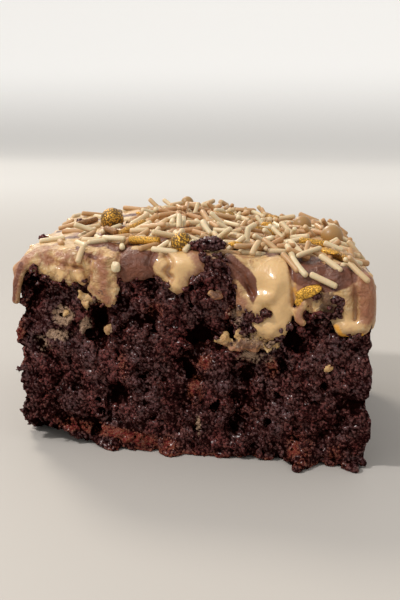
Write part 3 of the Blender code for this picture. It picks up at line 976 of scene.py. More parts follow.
# Thick strokes of frosting over the rim and down the shown face: radius, then x, y and z along the stroke
STROKES = (
    (0.8, ((-30.0, -27.6, 36.6), (-32.0, -29.6, 34.8), (-33.2, -30.2, 31.0), (-33.6, -30.2, 28.2))),
    (2.6, ((-4.8, -28.4, 35.6), (0.8, -28.4, 36.0))),
    (1.8, ((-1.2, -29.2, 35.0), (-1.9, -29.3, 32.6))),
    (1.4, ((0.8, -28.2, 37.0), (4.4, -28.2, 37.2))),
    (2.8, ((15.4, -23.0, 35.2), (16.0, -27.6, 35.0), (16.7, -28.6, 33.0), (16.4, -28.5, 26.2))),
    (1.5, ((10.8, -29.8, 29.4), (12.6, -29.8, 29.0), (15.0, -29.8, 30.6))),
    (0.9, ((12.2, -30.7, 31.0), (15.2, -30.9, 30.8))),
    (1.3, ((13.4, -30.3, 25.8), (15.2, -30.3, 24.9))),
    (1.2, ((28.2, -26.0, 35.6), (28.8, -29.8, 33.6), (29.4, -30.1, 29.0))),
    (2.2, ((31.2, -24.6, 33.8), (31.8, -28.2, 33.6), (32.2, -28.8, 31.4), (32.1, -28.7, 28.6))),
    (1.3, ((28.4, -30.0, 26.0), (31.8, -30.0, 26.5))),
    (0.72, ((21.4, -30.9, 30.2), (20.5, -30.9, 28.8), (20.5, -30.9, 27.4), (21.2, -30.9, 26.8))),
    (1.2, ((-17.4, -29.8, 32.6), (-15.6, -29.8, 29.6), (-14.8, -29.8, 29.0))),
    (0.6, ((-20.4, -30.4, 33.2), (-17.2, -30.4, 29.8))),
    (0.8, ((-30.0, -29.2, 35.8), (-26.6, -30.0, 34.6), (-24.0, -30.3, 33.6))),
    (0.6, ((-24.5, -26.4, 37.4), (-20.0, -28.6, 36.4), (-16.4, -30.2, 34.2))),
    (0.5, ((-28.6, -26.4, 37.0), (-25.4, -29.0, 36.0), (-21.2, -30.3, 34.4))),
    (0.6, ((-24.2, -30.3, 35.0), (-24.6, -30.4, 32.9))),
    (0.65, ((-22.2, -30.3, 35.2), (-22.5, -30.4, 32.4))),
    (0.55, ((-20.6, -30.3, 34.8), (-20.4, -30.4, 33.0))),
)
# Creases pressed into the shown frosting: depth, half width, then x and z along the crease
CREASES = (
    (0.8, 0.9, ((-4.0, 37.9), (-3.0, 37.0), (-3.0, 35.8), (-3.8, 35.0), (-2.8, 33.9))),
    (0.5, 0.8, ((5.4, 39.6), (7.6, 37.2), (10.6, 34.4), (12.4, 31.0))),
    (0.6, 0.8, ((-12.6, 39.0), (-13.4, 35.0), (-12.6, 32.0))),
    (0.5, 0.7, ((-6.6, 38.4), (-7.4, 36.0), (-5.4, 33.4))),
    (0.6, 0.7, ((-28.6, 37.0), (-24.4, 35.4), (-20.4, 35.0))),
    (0.6, 0.8, ((-18.6, 37.4), (-18.4, 34.0), (-19.2, 31.8))),
    (0.6, 0.9, ((19.0, 38.0), (19.4, 34.0), (19.8, 30.0))),
    (0.5, 0.8, ((30.0, 37.6), (30.4, 33.0), (30.6, 28.0))),
)
# A thin film of frosting rubbed over the crumb: middle y, half thickness, then its outline in x and z
FILMS = (
    (
        -29.9,
        0.45,
        ((7.2, 24.0), (5.4, 22.4), (8.0, 21.2), (14.0, 20.8), (18.4, 22.3), (14.4, 23.6), (10.9, 24.8)),
    ),
    (-29.9, 0.4, ((-20.6, 30.4), (-18.6, 29.2), (-19.4, 26.8), (-20.8, 28.0))),
)
FRONT_PLANE = -30.7
RIM_SLANT = 0.176
# Half width of the painted shade laid along each crease
CREASE_SHADE_WIDTH = 0.12
FACE_DEPTH = 10.0
NEAR_SKIN = 2.0
STROKE_BLEND = 1.0
LIP_BLEND = 0.55
CURD_EASE = 4.0
CURD_BEFORE = -16.0
CURD_BEYOND = 21.0
RIPPLES = ((2.3, 85, 0.9),)
FILM_EDGE = ((1.4, 81, 1.9), (0.6, 82, 0.9))
SWELLING = ((5.5, 21, 0.6), (2.6, 22, 0.3))
WAVES = ((4.2, 31, 0.7), (1.9, 33, 0.3))
DROP_RELIEF = ((1.1, 71, 0.9), (0.45, 72, 0.3))
BOX_X = 39.62
BOX_Y = (-34.85, 30.8)


def on_face(x, y, z):
    """Where a place of the rounded rim is measured on the shown face's plane, in mm: x and z."""
    return x, z + RIM_SLANT * (y - FRONT_PLANE)


def stroke_distance(place, radius, path):
    """How far a place lies outside a stroke along a path, measured in as many directions as both have."""
    nearest = 1e3
    for start, end in zip(path, path[1:]):
        run = sum((b - a) ** 2 for a, b in zip(start, end))
        t = np.clip(sum((p - a) * (b - a) for p, a, b in zip(place, start, end)) / run, 0, 1)
        away = sum((p - a - t * (b - a)) ** 2 for p, a, b in zip(place, start, end))
        nearest = np.minimum(nearest, np.sqrt(away))
    return nearest - radius


def patch_distance(x, z, outline):
    """How far a place lies outside an outline, in mm; below 0 within it."""
    nearest, within = np.full(x.shape, 1e3), np.zeros(x.shape, bool)
    for (ax, az), (bx, bz) in zip(outline, outline[1:] + outline[:1]):
        nearest = np.minimum(nearest, stroke_distance((x, z), 0, ((ax, az), (bx, bz))))
        if az != bz:
            within ^= ((az > z) != (bz > z)) & (x < (bx - ax) * (z - az) / (bz - az) + ax)
    return np.where(within, -nearest, nearest)


def lip_level(x, y, all_drips):
    """The height of the frosting's lower lip at even x, y in mm."""
    drop = 0
    for dx, dy, width, depth in all_drips:
        drop = np.maximum(drop, depth / MM * plateau(np.hypot(x - dx / MM, y - dy / MM), width / MM))
    return LIP_LEVEL / MM - drop


def in_box(distance, x, y):
    """Keeps a field within the slice's own length and depth."""
    ends = np.maximum(np.abs(x - LEAN * y) - BOX_X, np.maximum(y - BOX_Y[1], BOX_Y[0] - y))
    return soft_max(distance, ends, 0.5)


def worked_face(distance, x, y, z):
    """The shown face's strokes, creases and films, added to the frosting's field."""
    for radius, path in STROKES:
        distance = soft_min(distance, stroke_distance((x, y, z), radius, path), STROKE_BLEND)
    face_x, face_z = on_face(x, y, z)
    near = np.abs(distance) < NEAR_SKIN
    places = places_in(near, x, y, z)
    distance[near] -= layered(places, RIPPLES) * spread(places[:, 0], places[:, 2], GLOSSY)
    for depth, half_width, path in CREASES:
        distance = distance + depth * falloff(stroke_distance((face_x, face_z), 0, path), half_width)
    for middle, half_thick, outline in FILMS:
        flat = patch_distance(*np.broadcast_arrays(x, z), outline)
        film = soft_max(flat, np.abs(y - middle) - half_thick, 0.4)
        near = (np.abs(y - middle) < NEAR_SKIN) & (film < 1.5)
        places = places_in(near, x, y, z)
        film[near] += layered(places, FILM_EDGE)
        distance = np.minimum(distance, film)
    return distance


def frosting_field(sizes):
    half_w, half_d = half_spans(sizes, SKIN)
    radius, level = EDGE_RADIUS / MM, TOP_LEVEL / MM
    all_drips = drips(sizes)
    lip_x, lip_z = np.array(FRONT_LIP).T

    def swell_mm(x, y, _):
        return swell(x * MM, y * MM, sizes) / MM

    swell_at = Sampled(swell_mm, (-half_w, -half_d, 0), (half_w, half_d, 1), 1.2)

    def field(x, y, z):
        flat_x, flat_y = np.broadcast_arrays(x[:, :, 0], y[:, :, 0])
        flat = np.stack([flat_x.ravel(), flat_y.ravel(), 0 * flat_x.ravel()], 1)
        at_back = smooth((flat_y + half_d - 1.5) / 3.5)
        lip = lip_level(flat_x, flat_y, all_drips) * at_back
        lip += np.interp(flat_x, lip_x, lip_z) * (1 - at_back)
        uneven = rough(flat, 2.6, 3) * 1.2 * at_back.ravel() + rough(flat, 0.9, 4) * 0.9
        lip = (lip + uneven.reshape(lip.shape))[:, :, None]
        swollen = swell_at(flat_x, flat_y, 0)[:, :, None]
        fine = layered(flat, SWELLING).reshape(swollen.shape)
        lift = smooth((z - lip) / (level + swollen - lip))
        even_z = z - (swollen + fine) * lift
        over = [np.abs(x) - (half_w - radius), np.abs(y) - (half_d - radius), even_z - (level - radius)]
        outside = np.sqrt(sum(np.maximum(part, 0) ** 2 for part in over))
        inside = np.minimum(np.maximum(np.maximum(over[0], over[1]), over[2]), 0)
        distance = outside + inside - radius
        side = np.clip(np.maximum(over[0], over[1]) / radius, 0, 1) + 0 * distance
        distance = distance + side * (SKIN - LIP_SKIN) / MM * falloff(z - lip, LIP_TAPER)
        near = np.abs(distance) < NEAR_SKIN
        points = places_in(near, x, y, z)
        at_left = 1 - smooth((points[:, 0] - CURD_BEFORE) / CURD_EASE) * (points[:, 1] < -half_d + 4)
        curdled = np.maximum(at_left, smooth((points[:, 0] - CURD_BEYOND) / CURD_EASE))
        curds = rough(points * (1, 1, 0.6), 1.7, 35) * 1.5 + rough(points, 0.85, 37) * 0.8
        waves = layered(points, WAVES) + curdled * curds
        distance[near] -= waves * (0.25 + 0.75 * side[near])
        distance = soft_max(distance, lip - z, LIP_BLEND)
        rows = slice(int((y < -half_d + FACE_DEPTH).sum()))
        distance[:, rows] = worked_face(distance[:, rows], x, y[:, rows], z)
        core = np.maximum(np.abs(x) - half_w, np.abs(y) - half_d) + SKIN / MM
        core = np.maximum(core, z - sizes.sponge_height / MM) - FIT_GAP
        return in_box(np.maximum(distance, -core), x, y)

    return field


# Milk chocolate on the shown face, as outlines of x and z
CHOCOLATE_PATCHES = (
    ((-12.6, 38.9), (-5.3, 38.7), (-5.9, 36.8), (-6.5, 35.5), (-6.1, 34.2), (-5.6, 33.0))
    + ((-12.5, 32.0), (-13.4, 33.2)),
    ((5.6, 39.8), (7.1, 39.7), (8.9, 38.2), (11.7, 35.9), (12.8, 34.0), (13.1, 31.6))
    + ((12.3, 29.6), (10.4, 33.0), (9.2, 34.0), (7.7, 34.6), (6.6, 36.0)),
    ((18.1, 39.0), (20.1, 38.4), (25.9, 37.6), (31.4, 37.4), (30.4, 34.6), (28.6, 33.4))
    + ((27.0, 32.6), (23.9, 32.4), (19.6, 34.0), (18.7, 36.1)),
)
# Thin chocolate streaks: half width, then x and z along the streak
CHOCOLATE_STREAKS = (
    (0.5, ((-16.4, 40.0), (-14.1, 38.9), (-11.4, 39.0))),
    (0.3, ((-21.5, 38.9), (-20.0, 37.8), (-17.5, 37.0))),
    (0.35, ((13.4, 39.6), (15.0, 38.9), (17.0, 39.2))),
    (0.4, ((-32.4, 35.2), (-33.5, 31.4), (-34.0, 28.6))),
)
# Reddish streaks: half width, then x and z along the streak
RUST_STREAKS = (
    (1.5, ((32.2, 36.6), (32.6, 31.0), (32.4, 28.6))),
    (1.0, ((-31.0, 37.4), (-33.4, 33.6), (-34.2, 28.6))),
    (0.9, ((-17.0, 37.0), (-16.0, 34.0), (-15.8, 31.0), (-15.2, 29.2))),
    (0.35, ((-29.6, 39.6), (-27.2, 38.1))),
    (0.3, ((-28.1, 37.7), (-26.7, 36.4))),
    (0.3, ((-25.2, 37.6), (-22.3, 37.0))),
    (0.25, ((-28.4, 36.6), (-26.4, 35.8), (-23.6, 35.7), (-21.2, 36.2), (-19.8, 37.0))),
    (0.16, ((-4.0, 37.9), (-3.0, 37.0), (-3.0, 35.8), (-3.8, 35.0), (-2.8, 33.9))),
    (0.3, ((-18.4, 31.4), (-16.4, 29.8))),
)
# Thin see-through lips: half width, then x and z
AMBER_STREAKS = (
    (0.15, ((19.5, 32.8), (20.2, 31.4), (20.6, 30.2))),
    (0.3, ((27.2, 26.4), (28.0, 24.9), (29.9, 24.2), (31.8, 24.9))),
)
# Where the frosting is stained and strewn with crumb: x, z, half width, half height, strength
STAINS = (
    (25.4, 30.4, 4.2, 4.2, 1.0),
    (11.2, 28.0, 3.6, 3.2, 0.3),
    (11.6, 22.4, 8.0, 2.8, 0.85),
    (-16.6, 30.4, 4.2, 3.4, 0.5),
    (-25.0, 33.0, 9.0, 2.0, 0.35),
    (-30.2, 33.4, 3.0, 3.0, 0.6),
    (3.6, 39.6, 3.0, 1.4, 0.6),
    (5.4, 31.3, 2.4, 2.0, 0.9),
)
# Where the frosting is smooth, thick and yellow: x, z, half width, half height, strength
GLOSSY = (
    (-24.4, 33.8, 1.5, 2.8, 0.7),
    (-21.4, 33.6, 1.8, 3.0, 0.7),
    (-24.0, 38.0, 5.0, 1.5, 0.3),
    (-17.6, 36.4, 2.0, 2.0, 0.5),
    (-28.4, 36.2, 1.6, 1.4, 0.3),
    (-1.2, 35.4, 8.6, 6.0, 0.95),
    (20.8, 28.6, 1.6, 3.4, 0.7),
    (16.0, 31.4, 8.4, 13.0, 1.0),
    (29.8, 27.4, 4.6, 3.4, 0.75),
)


def spread(x, z, middles):
    amount = np.zeros(x.shape)
    for mx, mz, rx, rz, most in middles:
        amount = np.maximum(amount, most * falloff(np.hypot((x - mx) / rx, (z - mz) / rz), 1))
    return amount


def streak_edge(x, z, streaks):
    edge = np.full(x.shape, 9.0)
    for half_width, path in streaks:
        edge = np.minimum(edge, stroke_distance((x, z), half_width, path))
    return edge


def frosting_traits(mesh, points, sizes):
    x, y, z = points.T
    half_d = half_spans(sizes, SKIN)[1]
    face = y < -half_d + 9
    face_x, face_z = on_face(x, y, z)
    chocolate = streak_edge(face_x, face_z, CHOCOLATE_STREAKS)
    for outline in CHOCOLATE_PATCHES:
        chocolate = np.minimum(chocolate, patch_distance(face_x, face_z, outline))
    stirred = warped(points, 9, (51, 52, 53), 9)
    bands = (0.17 - rough(stirred * (1, 1, 1.6), 7.5, 55)) * 6 + falloff(y + half_d, 6) * 6
    chocolate = np.where(face, np.minimum(chocolate, bands), bands)
    # Painted shade: a thin line of the rust colour along each pressed crease
    crease_shade_lines = tuple((CREASE_SHADE_WIDTH, path) for _, _, path in CREASES)
    rust_and_crease_shade = np.where(face, streak_edge(face_x, face_z, RUST_STREAKS + crease_shade_lines), 9)
    rust_and_crease_shade = np.minimum(rust_and_crease_shade, (0.33 - rough(stirred * (1.4, 1, 1), 5, 61)) * 5)
    amber = np.where(y < -half_d + 4, streak_edge(face_x, face_z, AMBER_STREAKS), 9)
    for name, edge in (("chocolate", chocolate), ("rust_and_crease_shade", rust_and_crease_shade), ("amber", amber)):
        set_attribute(mesh, name, np.clip(edge, -3, 3))
    set_attribute(mesh, "stain", np.where(face, spread(face_x, face_z, STAINS), 0))
    set_attribute(mesh, "glossy", np.where(face, spread(face_x, face_z, GLOSSY), 0.35))


class CAKE_OT_crumbs(bpy.types.Operator):
    """Makes the crumbs that fell on the frosting"""

    bl_idname = "cake.crumbs"
    bl_label = "Fallen crumbs"

    def execute(self, context):
        sizes = context.scene.cake_sizes
        step = sizes.face_step / MM
        field = crumbs_field(sizes.granule / MM)
        low, high = (-36, -33, 20), (36, 12, 42)
        mesh, points = mesh_where("fallen_crumbs", low, high, step, field, CRUMB_THINNING, all_pieces=True)
        sponge_traits(mesh, points, sizes, loose=True)
        add_piece("fallen_crumbs", mesh, bpy.data.materials["moist_crumb"], "sponge")
        return {"FINISHED"}


class CAKE_OT_frosting(bpy.types.Operator):
    """Makes the swirled frosting with its lips and runs"""

    bl_idname = "cake.frosting"
    bl_label = "Frosting"

    def execute(self, context):
        sizes = context.scene.cake_sizes
        half_d = half_spans(sizes, SKIN)[1]
        low, high = (-36, -half_d - 2.4, 20.5), (36, half_d + 2, 42.5)
        step = sizes.frosting_step / MM
        mesh, points = mesh_where("frosting", low, high, step, frosting_field(sizes), FROSTING_THINNING)
        frosting_traits(mesh, points, sizes)
        material = frosting_material(context.scene.cake_colours)
        add_piece("frosting_swirls", mesh, material, "frosting")
        return {"FINISHED"}


def density(x, y):
    """How thickly the sprinkles lie at x, y, from 0 to 1: thickly except at the left."""
    thick = float(smooth((x - THICK_X) / THICK_RUN))
    off_front = float(smooth((y - BARE_Y) / BARE_RUN + BARE_WHERE_THICK * thick))
    off_left = float(smooth((even_x(x, y) - BARE_LEFT_X) / BARE_LEFT_RUN))
    return (THIN_DENSITY + (1 - THIN_DENSITY) * thick) * off_front * off_left


def jimmy_spots(count, spacing, seed, sizes, taken=None, thinning=1):
    """x, y, heading and tilt of each jimmy, spread by throwing darts that stay a spacing apart."""
    draw = random.Random(seed)
    half_w, half_d = sizes.sponge_width / 2 - TOP_MARGIN, sizes.sponge_depth / 2 - TOP_MARGIN
    if taken is None:
        taken = [(x * MM, y * MM, r * MM + BALL_CLEARANCE) for x, y, r in BALLS]
        taken += [(x * MM, y * MM, ROD_CLEARANCE) for x, y, _, _ in RODS]
    spots_found = []
    for _ in range(60 * count):
        y = draw.uniform(-half_d, half_d)
        x = draw.uniform(-half_w, half_w) - LEAN * y
        heading, tilt, keep = draw.uniform(0, math.pi), draw.uniform(-JIMMY_TILT, JIMMY_TILT), draw.random()
        if keep > density(x, y) ** thinning or any(math.hypot(x - a, y - b) < r for a, b, r in taken):
            continue
        spots_found.append((x, y, heading, tilt))
        taken.append((x, y, spacing))
        if len(spots_found) == count:
            break
    return spots_found


def lying(x, y, heading, tilt, long, radius, sizes, raised=0.0):
    """The matrix that lays a stick made along Z on the frosting, partly sunk in it."""
    dx, dy = math.cos(heading) * long / 2, math.sin(heading) * long / 2
    low, high = top_height(x - dx, y - dy, sizes), top_height(x + dx, y + dy, sizes)
    along = Vector((2 * dx, 2 * dy, high - low + tilt * long)).normalized()
    level = max((low + high) / 2, top_height(x, y, sizes)) + radius * (1 - 2 * SUNK) + raised
    level = min(level, SOLID_BOX[1][2] - radius - abs(along.z) * long / 2)
    return Matrix.Translation((x, y, level)) @ along.to_track_quat("Z", "Y").to_matrix().to_4x4()


def between(start, end):
    """The matrix that lays a stick made along Z from start to end."""
    return Matrix.Translation((start + end) / 2) @ (end - start).to_track_quat("Z", "Y").to_matrix().to_4x4()


def turned_form(profile, sides):
    """Points and faces of a closed form turned about Z, from its heights and radii, pointed at both ends."""
    points = [(0, 0, profile[0][0])]
    for height, radius in profile[1:-1]:
        for i in range(sides):
            turn = 2 * math.pi * i / sides
            points.append((math.cos(turn) * radius, math.sin(turn) * radius, height))
    points.append((0, 0, profile[-1][0]))
    faces, rings, last = [], len(profile) - 2, len(points) - 1
    end = 1 + (rings - 1) * sides
    for i in range(sides):
        j = (i + 1) % sides
        faces += [(0, 1 + j, 1 + i, 1 + i), (end + i, end + j, last, last)]
        for ring in range(rings - 1):
            a, b = 1 + ring * sides, 1 + (ring + 1) * sides
            faces.append((a + i, a + j, b + j, b + i))
    return np.array(points), np.array(faces)


def stick_form(long, radius, sides, rows=5):
    """A round-ended stick along Z."""
    end = [(-0.5, 0.0), (-0.492, 0.55), (-0.465, 0.88)]
    middle = [(-0.42 + 0.84 * i / (rows - 1), 1.0) for i in range(rows)]
    profile = end + middle + [(-h, w) for h, w in reversed(end)]
    return turned_form([(h * long, w * radius) for h, w in profile], sides)


def ball_form(radius, sides, rings):
    lifts = [math.pi * ring / rings for ring in range(rings + 1)]
    return turned_form([(-math.cos(lift) * radius, math.sin(lift) * radius) for lift in lifts], sides)


def joined(name, form, places, tints, unevenness, bend=0.0, seed=1):
    """One mesh of a form at many places, each a little uneven, with a tint of its own."""
    points, faces = form
    draw = np.random.default_rng(seed)
    all_points, all_faces = [], []
    for i, place in enumerate(places):
        local = points.copy()
        along = local[:, 2] / max(1e-9, np.abs(points[:, 2]).max())
        local[:, 0] += bend * draw.uniform(-1, 1) * (along**2 - 0.5)
        swelling = rough(points / MM + 37.0 * i, 0.7, 7)[:, None] * unevenness
        local += swelling * points / np.abs(points).max()
        matrix = np.array(place)
        all_points.append(local @ matrix[:3, :3].T + matrix[:3, 3])
        all_faces.append(faces + i * len(points))
    mesh = mesh_of(name, np.concatenate(all_points), np.concatenate(all_faces))
    set_attribute(mesh, "tint", np.repeat(tints, len(points)))
    return mesh


# Single jimmies on the others near the front: real x, y and z of both ends
PLACED_JIMMIES = (
    ((1.7, -27.4, 39.0), (3.3, -23.8, 41.9)),
    ((-1.6, -28.6, 38.7), (3.6, -28.8, 38.3)),
    ((4.9, -29.7, 38.6), (6.3, -27.4, 40.3)),
    ((-15.2, -30.8, 36.0), (-14.9, -28.4, 38.6)),
    ((9.5, -20.6, 38.5), (7.6, -16.6, 40.6)),
    ((14.9, -22.0, 38.5), (15.1, -21.0, 42.4)),
    ((8.0, -17.5, 39.0), (11.5, -19.4, 41.8)),
    ((21.0, -24.5, 38.1), (22.3, -19.9, 39.0)),
    ((24.8, -28.0, 37.5), (22.9, -24.0, 39.6)),
    ((18.9, -16.5, 38.0), (15.7, -19.2, 40.6)),
    ((9.4, -17.8, 38.9), (13.5, -20.5, 39.0)),
    ((14.7, -23.7, 38.2), (16.4, -19.4, 38.4)),
    ((-9.6, -22.4, 38.9), (-4.8, -20.9, 39.8)),
    ((-15.2, -25.3, 38.9), (-11.8, -21.8, 39.1)),
    ((4.1, -13.8, 40.1), (2.3, -9.6, 42.0)),
)
# A pale chip stuck to the shown frosting: real x, y and z of its middle, and half sizes
CHIP = ((-7.7, -30.9, 35.5), (0.85, 0.6, 1.0))
# Bars laid on the jimmies besides the gold rods: real x and y, heading in degrees, rise
BRONZE_RODS = (
    (13.2, -12.0, -28, -0.05),
    (16.8, -9.0, -16, 0.0),
    (24.6, -15.5, -8, 0.0),
    (-1.5, 4.0, 30, 0.05),
    (8.5, -5.5, 48, 0.1),
    (-14.5, -13.0, -50, 0.0),
    (20.5, 6.5, 20, 0.0),
    (2.5, 18.5, -30, 0.0),
    (-26.0, 4.5, 65, 0.0),
)
# Gold leaf: even x, y, z of the middle, its three half sizes, turns about X, Y and Z in degrees
FLAKES = (
    (22.2, -31.3, 32.5, 2.3, 0.95, 0.32, 74, -24, 0),
    (20.6, -31.2, 31.0, 1.1, 0.7, 0.3, 80, -60, 0),
    (26.2, -22.0, 38.5, 1.9, 1.1, 0.3, 12, 6, -30),
    (9.4, -24.6, 39.4, 1.5, 0.9, 0.35, 30, 10, 20),
    (4.0, -6.0, 40.6, 1.4, 0.8, 0.3, 10, -14, 60),
    (-13.0, 6.0, 41.2, 1.2, 0.8, 0.3, 8, 12, 10),
    (15.0, 8.0, 39.4, 1.3, 0.9, 0.3, 12, -8, 40),
)
# Lumps of frosting dropped on the torn face: even x, y, z and radius
DROPS = (
    (-15.2, -29.2, 23.4, 0.9),
    (5.4, -31.9, 31.3, 0.85),
    (26.2, -29.4, 18.4, 0.7),
    (-23.6, -29.3, 26.0, 0.6),
    (2.0, -29.2, 9.0, 0.5),
    (-18.8, -29.6, 29.0, 0.9),
)


def before_a_ball(x, y):
    """True close in front of a ball or pearl, where a piled jimmy would hide it."""
    for ball_x, ball_y, radius in BALLS:
        ahead, aside = ball_y - y / MM, abs(x / MM - ball_x)
        if 0 < ahead < radius + CLEAR_AHEAD and aside < radius + CLEAR_ASIDE:
            return True
    return False


def first_layer(sizes):
    """Where the jimmies lie that the solids have too: on the front rim and on the frosting."""
    long, radius = sizes.jimmy_length, sizes.jimmy_radius
    places = []
    for x0, z0, x1, z1 in RIM_JIMMIES:
        ends = [rim_spot(x * MM, z * MM, radius, sizes) + RIM_LIFT for x, z in ((x0, z0), (x1, z1))]
        places.append(between(*ends))
    for x, y, heading, tilt in jimmy_spots(JIMMY_COUNT, JIMMY_SPACING, JIMMY_SEED, sizes):
        places.append(lying(x, y, heading, tilt, long, radius, sizes, FIRST_RAISE))
    return places


def pile(draw, sizes):
    """Where the jimmies lie on the first layer, and whether each stays."""
    long, radius = sizes.jimmy_length, sizes.jimmy_radius
    taken = [(x * MM, y * MM, r * MM + PILE_OFF_BALLS) for x, y, r in BALLS]
    taken += [(x * MM, y * MM, PILE_OFF_RODS) for x, y, *_ in RODS[:5] + BRONZE_RODS[:4]]
    spots = jimmy_spots(sizes.piled_jimmies, PILE_SPACING, PILE_SEED, sizes, taken, PILE_THINNING)
    places = []
    for x, y, heading, tilt in spots:
        raised = draw.uniform(*PILE_RAISES) * MM
        leaning = tilt * draw.choice(PILE_LEANINGS)
        place = lying(x, y, heading, leaning, long * draw.uniform(0.7, 1.05), radius, sizes, raised)
        stretch = [draw.uniform(0.85, 1.1)] * 2 + [draw.uniform(0.6, 1.1), 1]
        places.append((place @ Matrix.Diagonal(stretch), not before_a_ball(x, y)))
    return places


class CAKE_OT_jimmies(bpy.types.Operator):
    """Makes the thin sugar sprinkles, cream and tan"""

    bl_idname = "cake.jimmies"
    bl_label = "Jimmies"

    def execute(self, context):
        sizes, colours = context.scene.cake_sizes, context.scene.cake_colours
        long, radius = sizes.jimmy_length, sizes.jimmy_radius
        draw = random.Random(17)
        places = [(place, True) for place in first_layer(sizes)] + pile(draw, sizes)
        kinds = {"jimmies_cream": [], "jimmies_tan": []}
        for i, (place, stays) in enumerate(places):
            light = i < len(RIM_JIMMIES) or draw.random() < 0.5
            if stays:
                kinds["jimmies_cream" if light else "jimmies_tan"].append(place)
        for start, end in PLACED_JIMMIES:
            start, end = Vector(start) * MM, Vector(end) * MM
            shortened = Matrix.Diagonal((1, 1, (end - start).length / long, 1))
            kinds["jimmies_cream"].append(between(start, end) @ shortened)
        finishes = {
            "jimmies_cream": sugar_material("cream_sugar", colours.cream, colours.biscuit),
            "jimmies_tan": sugar_material("tan_sugar", colours.biscuit, colours.toffee),
        }
        form = stick_form(long, radius, 9)
        for name, kind_places in kinds.items():
            tints = np.array([draw.betavariate(3, 1.6) for _ in kind_places])
            mesh = joined(name, form, kind_places, tints, 0.1 * MM, bend=0.2 * MM)
            add_piece(name, mesh, finishes[name], "frosting")
        middle, halves = CHIP
        place = Matrix.Translation(Vector(middle) * MM) @ Matrix.Diagonal((*halves, 1))
        mesh = joined("sugar_chip", ball_form(MM, 24, 14), [place], np.array([0.9]), 0.7 * MM)
        add_piece("sugar_chip", mesh, finishes["jimmies_cream"], "frosting")
        return {"FINISHED"}


class CAKE_OT_rods(bpy.types.Operator):
    """Makes the gold and bronze rods"""

    bl_idname = "cake.rods"
    bl_label = "Gold rods"

    def execute(self, context):
        sizes, colours = context.scene.cake_sizes, context.scene.cake_colours
        kinds = {
            "gold_rods": (RODS, 1.0, 0.8 * MM, colours.gold, colours.bronze, 0.5),
            "bronze_rods": (BRONZE_RODS, 0.85, 0.75 * MM, colours.bronze, colours.toffee, 0.35),
        }
        draw = random.Random(8)
        for name, (rods, thinness, raised, light, dark, metallic) in kinds.items():
            long, radius = sizes.rod_length, sizes.rod_radius * thinness
            places = [
                lying(x * MM, y * MM, math.radians(heading), rise, long, radius, sizes, raised)
                for x, y, heading, rise in rods
            ]
            tints = np.array([0.5, 1.0] + [draw.uniform(0.3, 0.9) for _ in rods[2:]])
            form = stick_form(long, radius, 14, rows=9)
            mesh = joined(name, form, places, tints, 0.22 * MM, bend=0.1 * MM, seed=4)
            finish = glitter_material(name, light, dark, 0.22 * MM, metallic)
            add_piece(name, mesh, finish, "frosting")
        return {"FINISHED"}


class CAKE_OT_flakes(bpy.types.Operator):
    """Makes the flakes of gold leaf"""

    bl_idname = "cake.flakes"
    bl_label = "Gold leaf"

    def execute(self, context):
        colours = context.scene.cake_colours
        places = []
        for x, y, z, long, wide, thick, *turns in FLAKES:
            turned = Matrix.Identity(4)
            for turn, axis in zip(turns, "XYZ"):
                turned = Matrix.Rotation(math.radians(turn), 4, axis) @ turned
            stretched = Matrix.Diagonal((long, wide, thick, 1))
            places.append(Matrix.Translation(leaned(Vector((x, y, z)) * MM)) @ turned @ stretched)
        tints = np.linspace(1, 0.4, len(places))
        mesh = joined("gold_leaf", ball_form(MM, 22, 12), places, tints, 0.9 * MM, seed=12)
        gold = glitter_material("leaf_gold", colours.gold, colours.amber, 0.28 * MM, 0.6)
        add_piece("gold_leaf", mesh, gold, "frosting")
        return {"FINISHED"}


class CAKE_OT_drops(bpy.types.Operator):
    """Makes the small lumps of frosting on the torn face"""

    bl_idname = "cake.drops"
    bl_label = "Frosting drops"

    def execute(self, context):
        def field(x, y, z):
            distance = 9.0
            for cx, cy, cz, radius in DROPS:
                lump = (cx, cy, cz, radius * 1.2, radius, radius)
                distance = np.minimum(distance, ellipsoid(x, y, z, lump))
            near = np.abs(distance) < LUMP_MARGIN
            points = places_in(near, x, y, z)
            distance[near] -= layered(points, DROP_RELIEF)
            return distance

        sizes = context.scene.cake_sizes
        low, high, step = (-28, -34, 6), (29, -26, 34), sizes.face_step / MM
        mesh, points = mesh_where("drops", low, high, step, field, CRUMB_THINNING, all_pieces=True)
        frosting_traits(mesh, points, sizes)
        material = bpy.data.materials["swirled_frosting"]
        add_piece("frosting_drops", mesh, material, "frosting")
        return {"FINISHED"}


class CAKE_OT_balls(bpy.types.Operator):
    """Makes the glitter balls and the matte pearls"""

    bl_idname = "cake.balls"
    bl_label = "Sugar balls"

    def execute(self, context):
        sizes, colours = context.scene.cake_sizes, context.scene.cake_colours
        places = []
        for x, y, radius in BALLS:
            x, y, radius = x * MM, y * MM, radius * MM
            level = top_height(x, y, sizes) + radius * (1 - 2 * BALL_SUNK)
            places.append(Matrix.Translation((x, y, level)) @ Matrix.Scale(radius / MM, 4))
        form = ball_form(MM, 28, 18)
        gold, dark = colours.gold, colours.bronze
        glitter = glitter_material("gold_glitter", gold, dark, 0.36 * MM, 0.8, (0.58, 0.82), 0.9)
        mesh = joined("glitter_balls", form, places[:2], np.array([0.75, 0.9]), 0.03 * MM, seed=6)
        add_piece("glitter_balls", mesh, glitter, "frosting")
        pearl = sugar_material("pearl_gold", colours.pearl, colours.bronze)
        mesh = joined("pearls", form, places[2:], np.array([0.8, 0.9, 1.0]), 0.02 * MM, seed=8)
        add_piece("pearls", mesh, pearl, "frosting")
        return {"FINISHED"}


# The camera stands before the shown face, a little to its right, and looks down on it
CAMERA_PLACE = (49.7 * MM, -203.0 * MM, 65.4 * MM)
CAMERA_YAW = 13.55
CAMERA_PITCH = 11.3
LENS = 59.76
SENSOR = 36.0

# The floor, in metres
FLOOR_FRONT = -2.0
FLOOR_BACK = 0.9
FLOOR_SIDE = 3.0
FLOOR_GAP = 0.05 * MM
SWEEP = 0.5

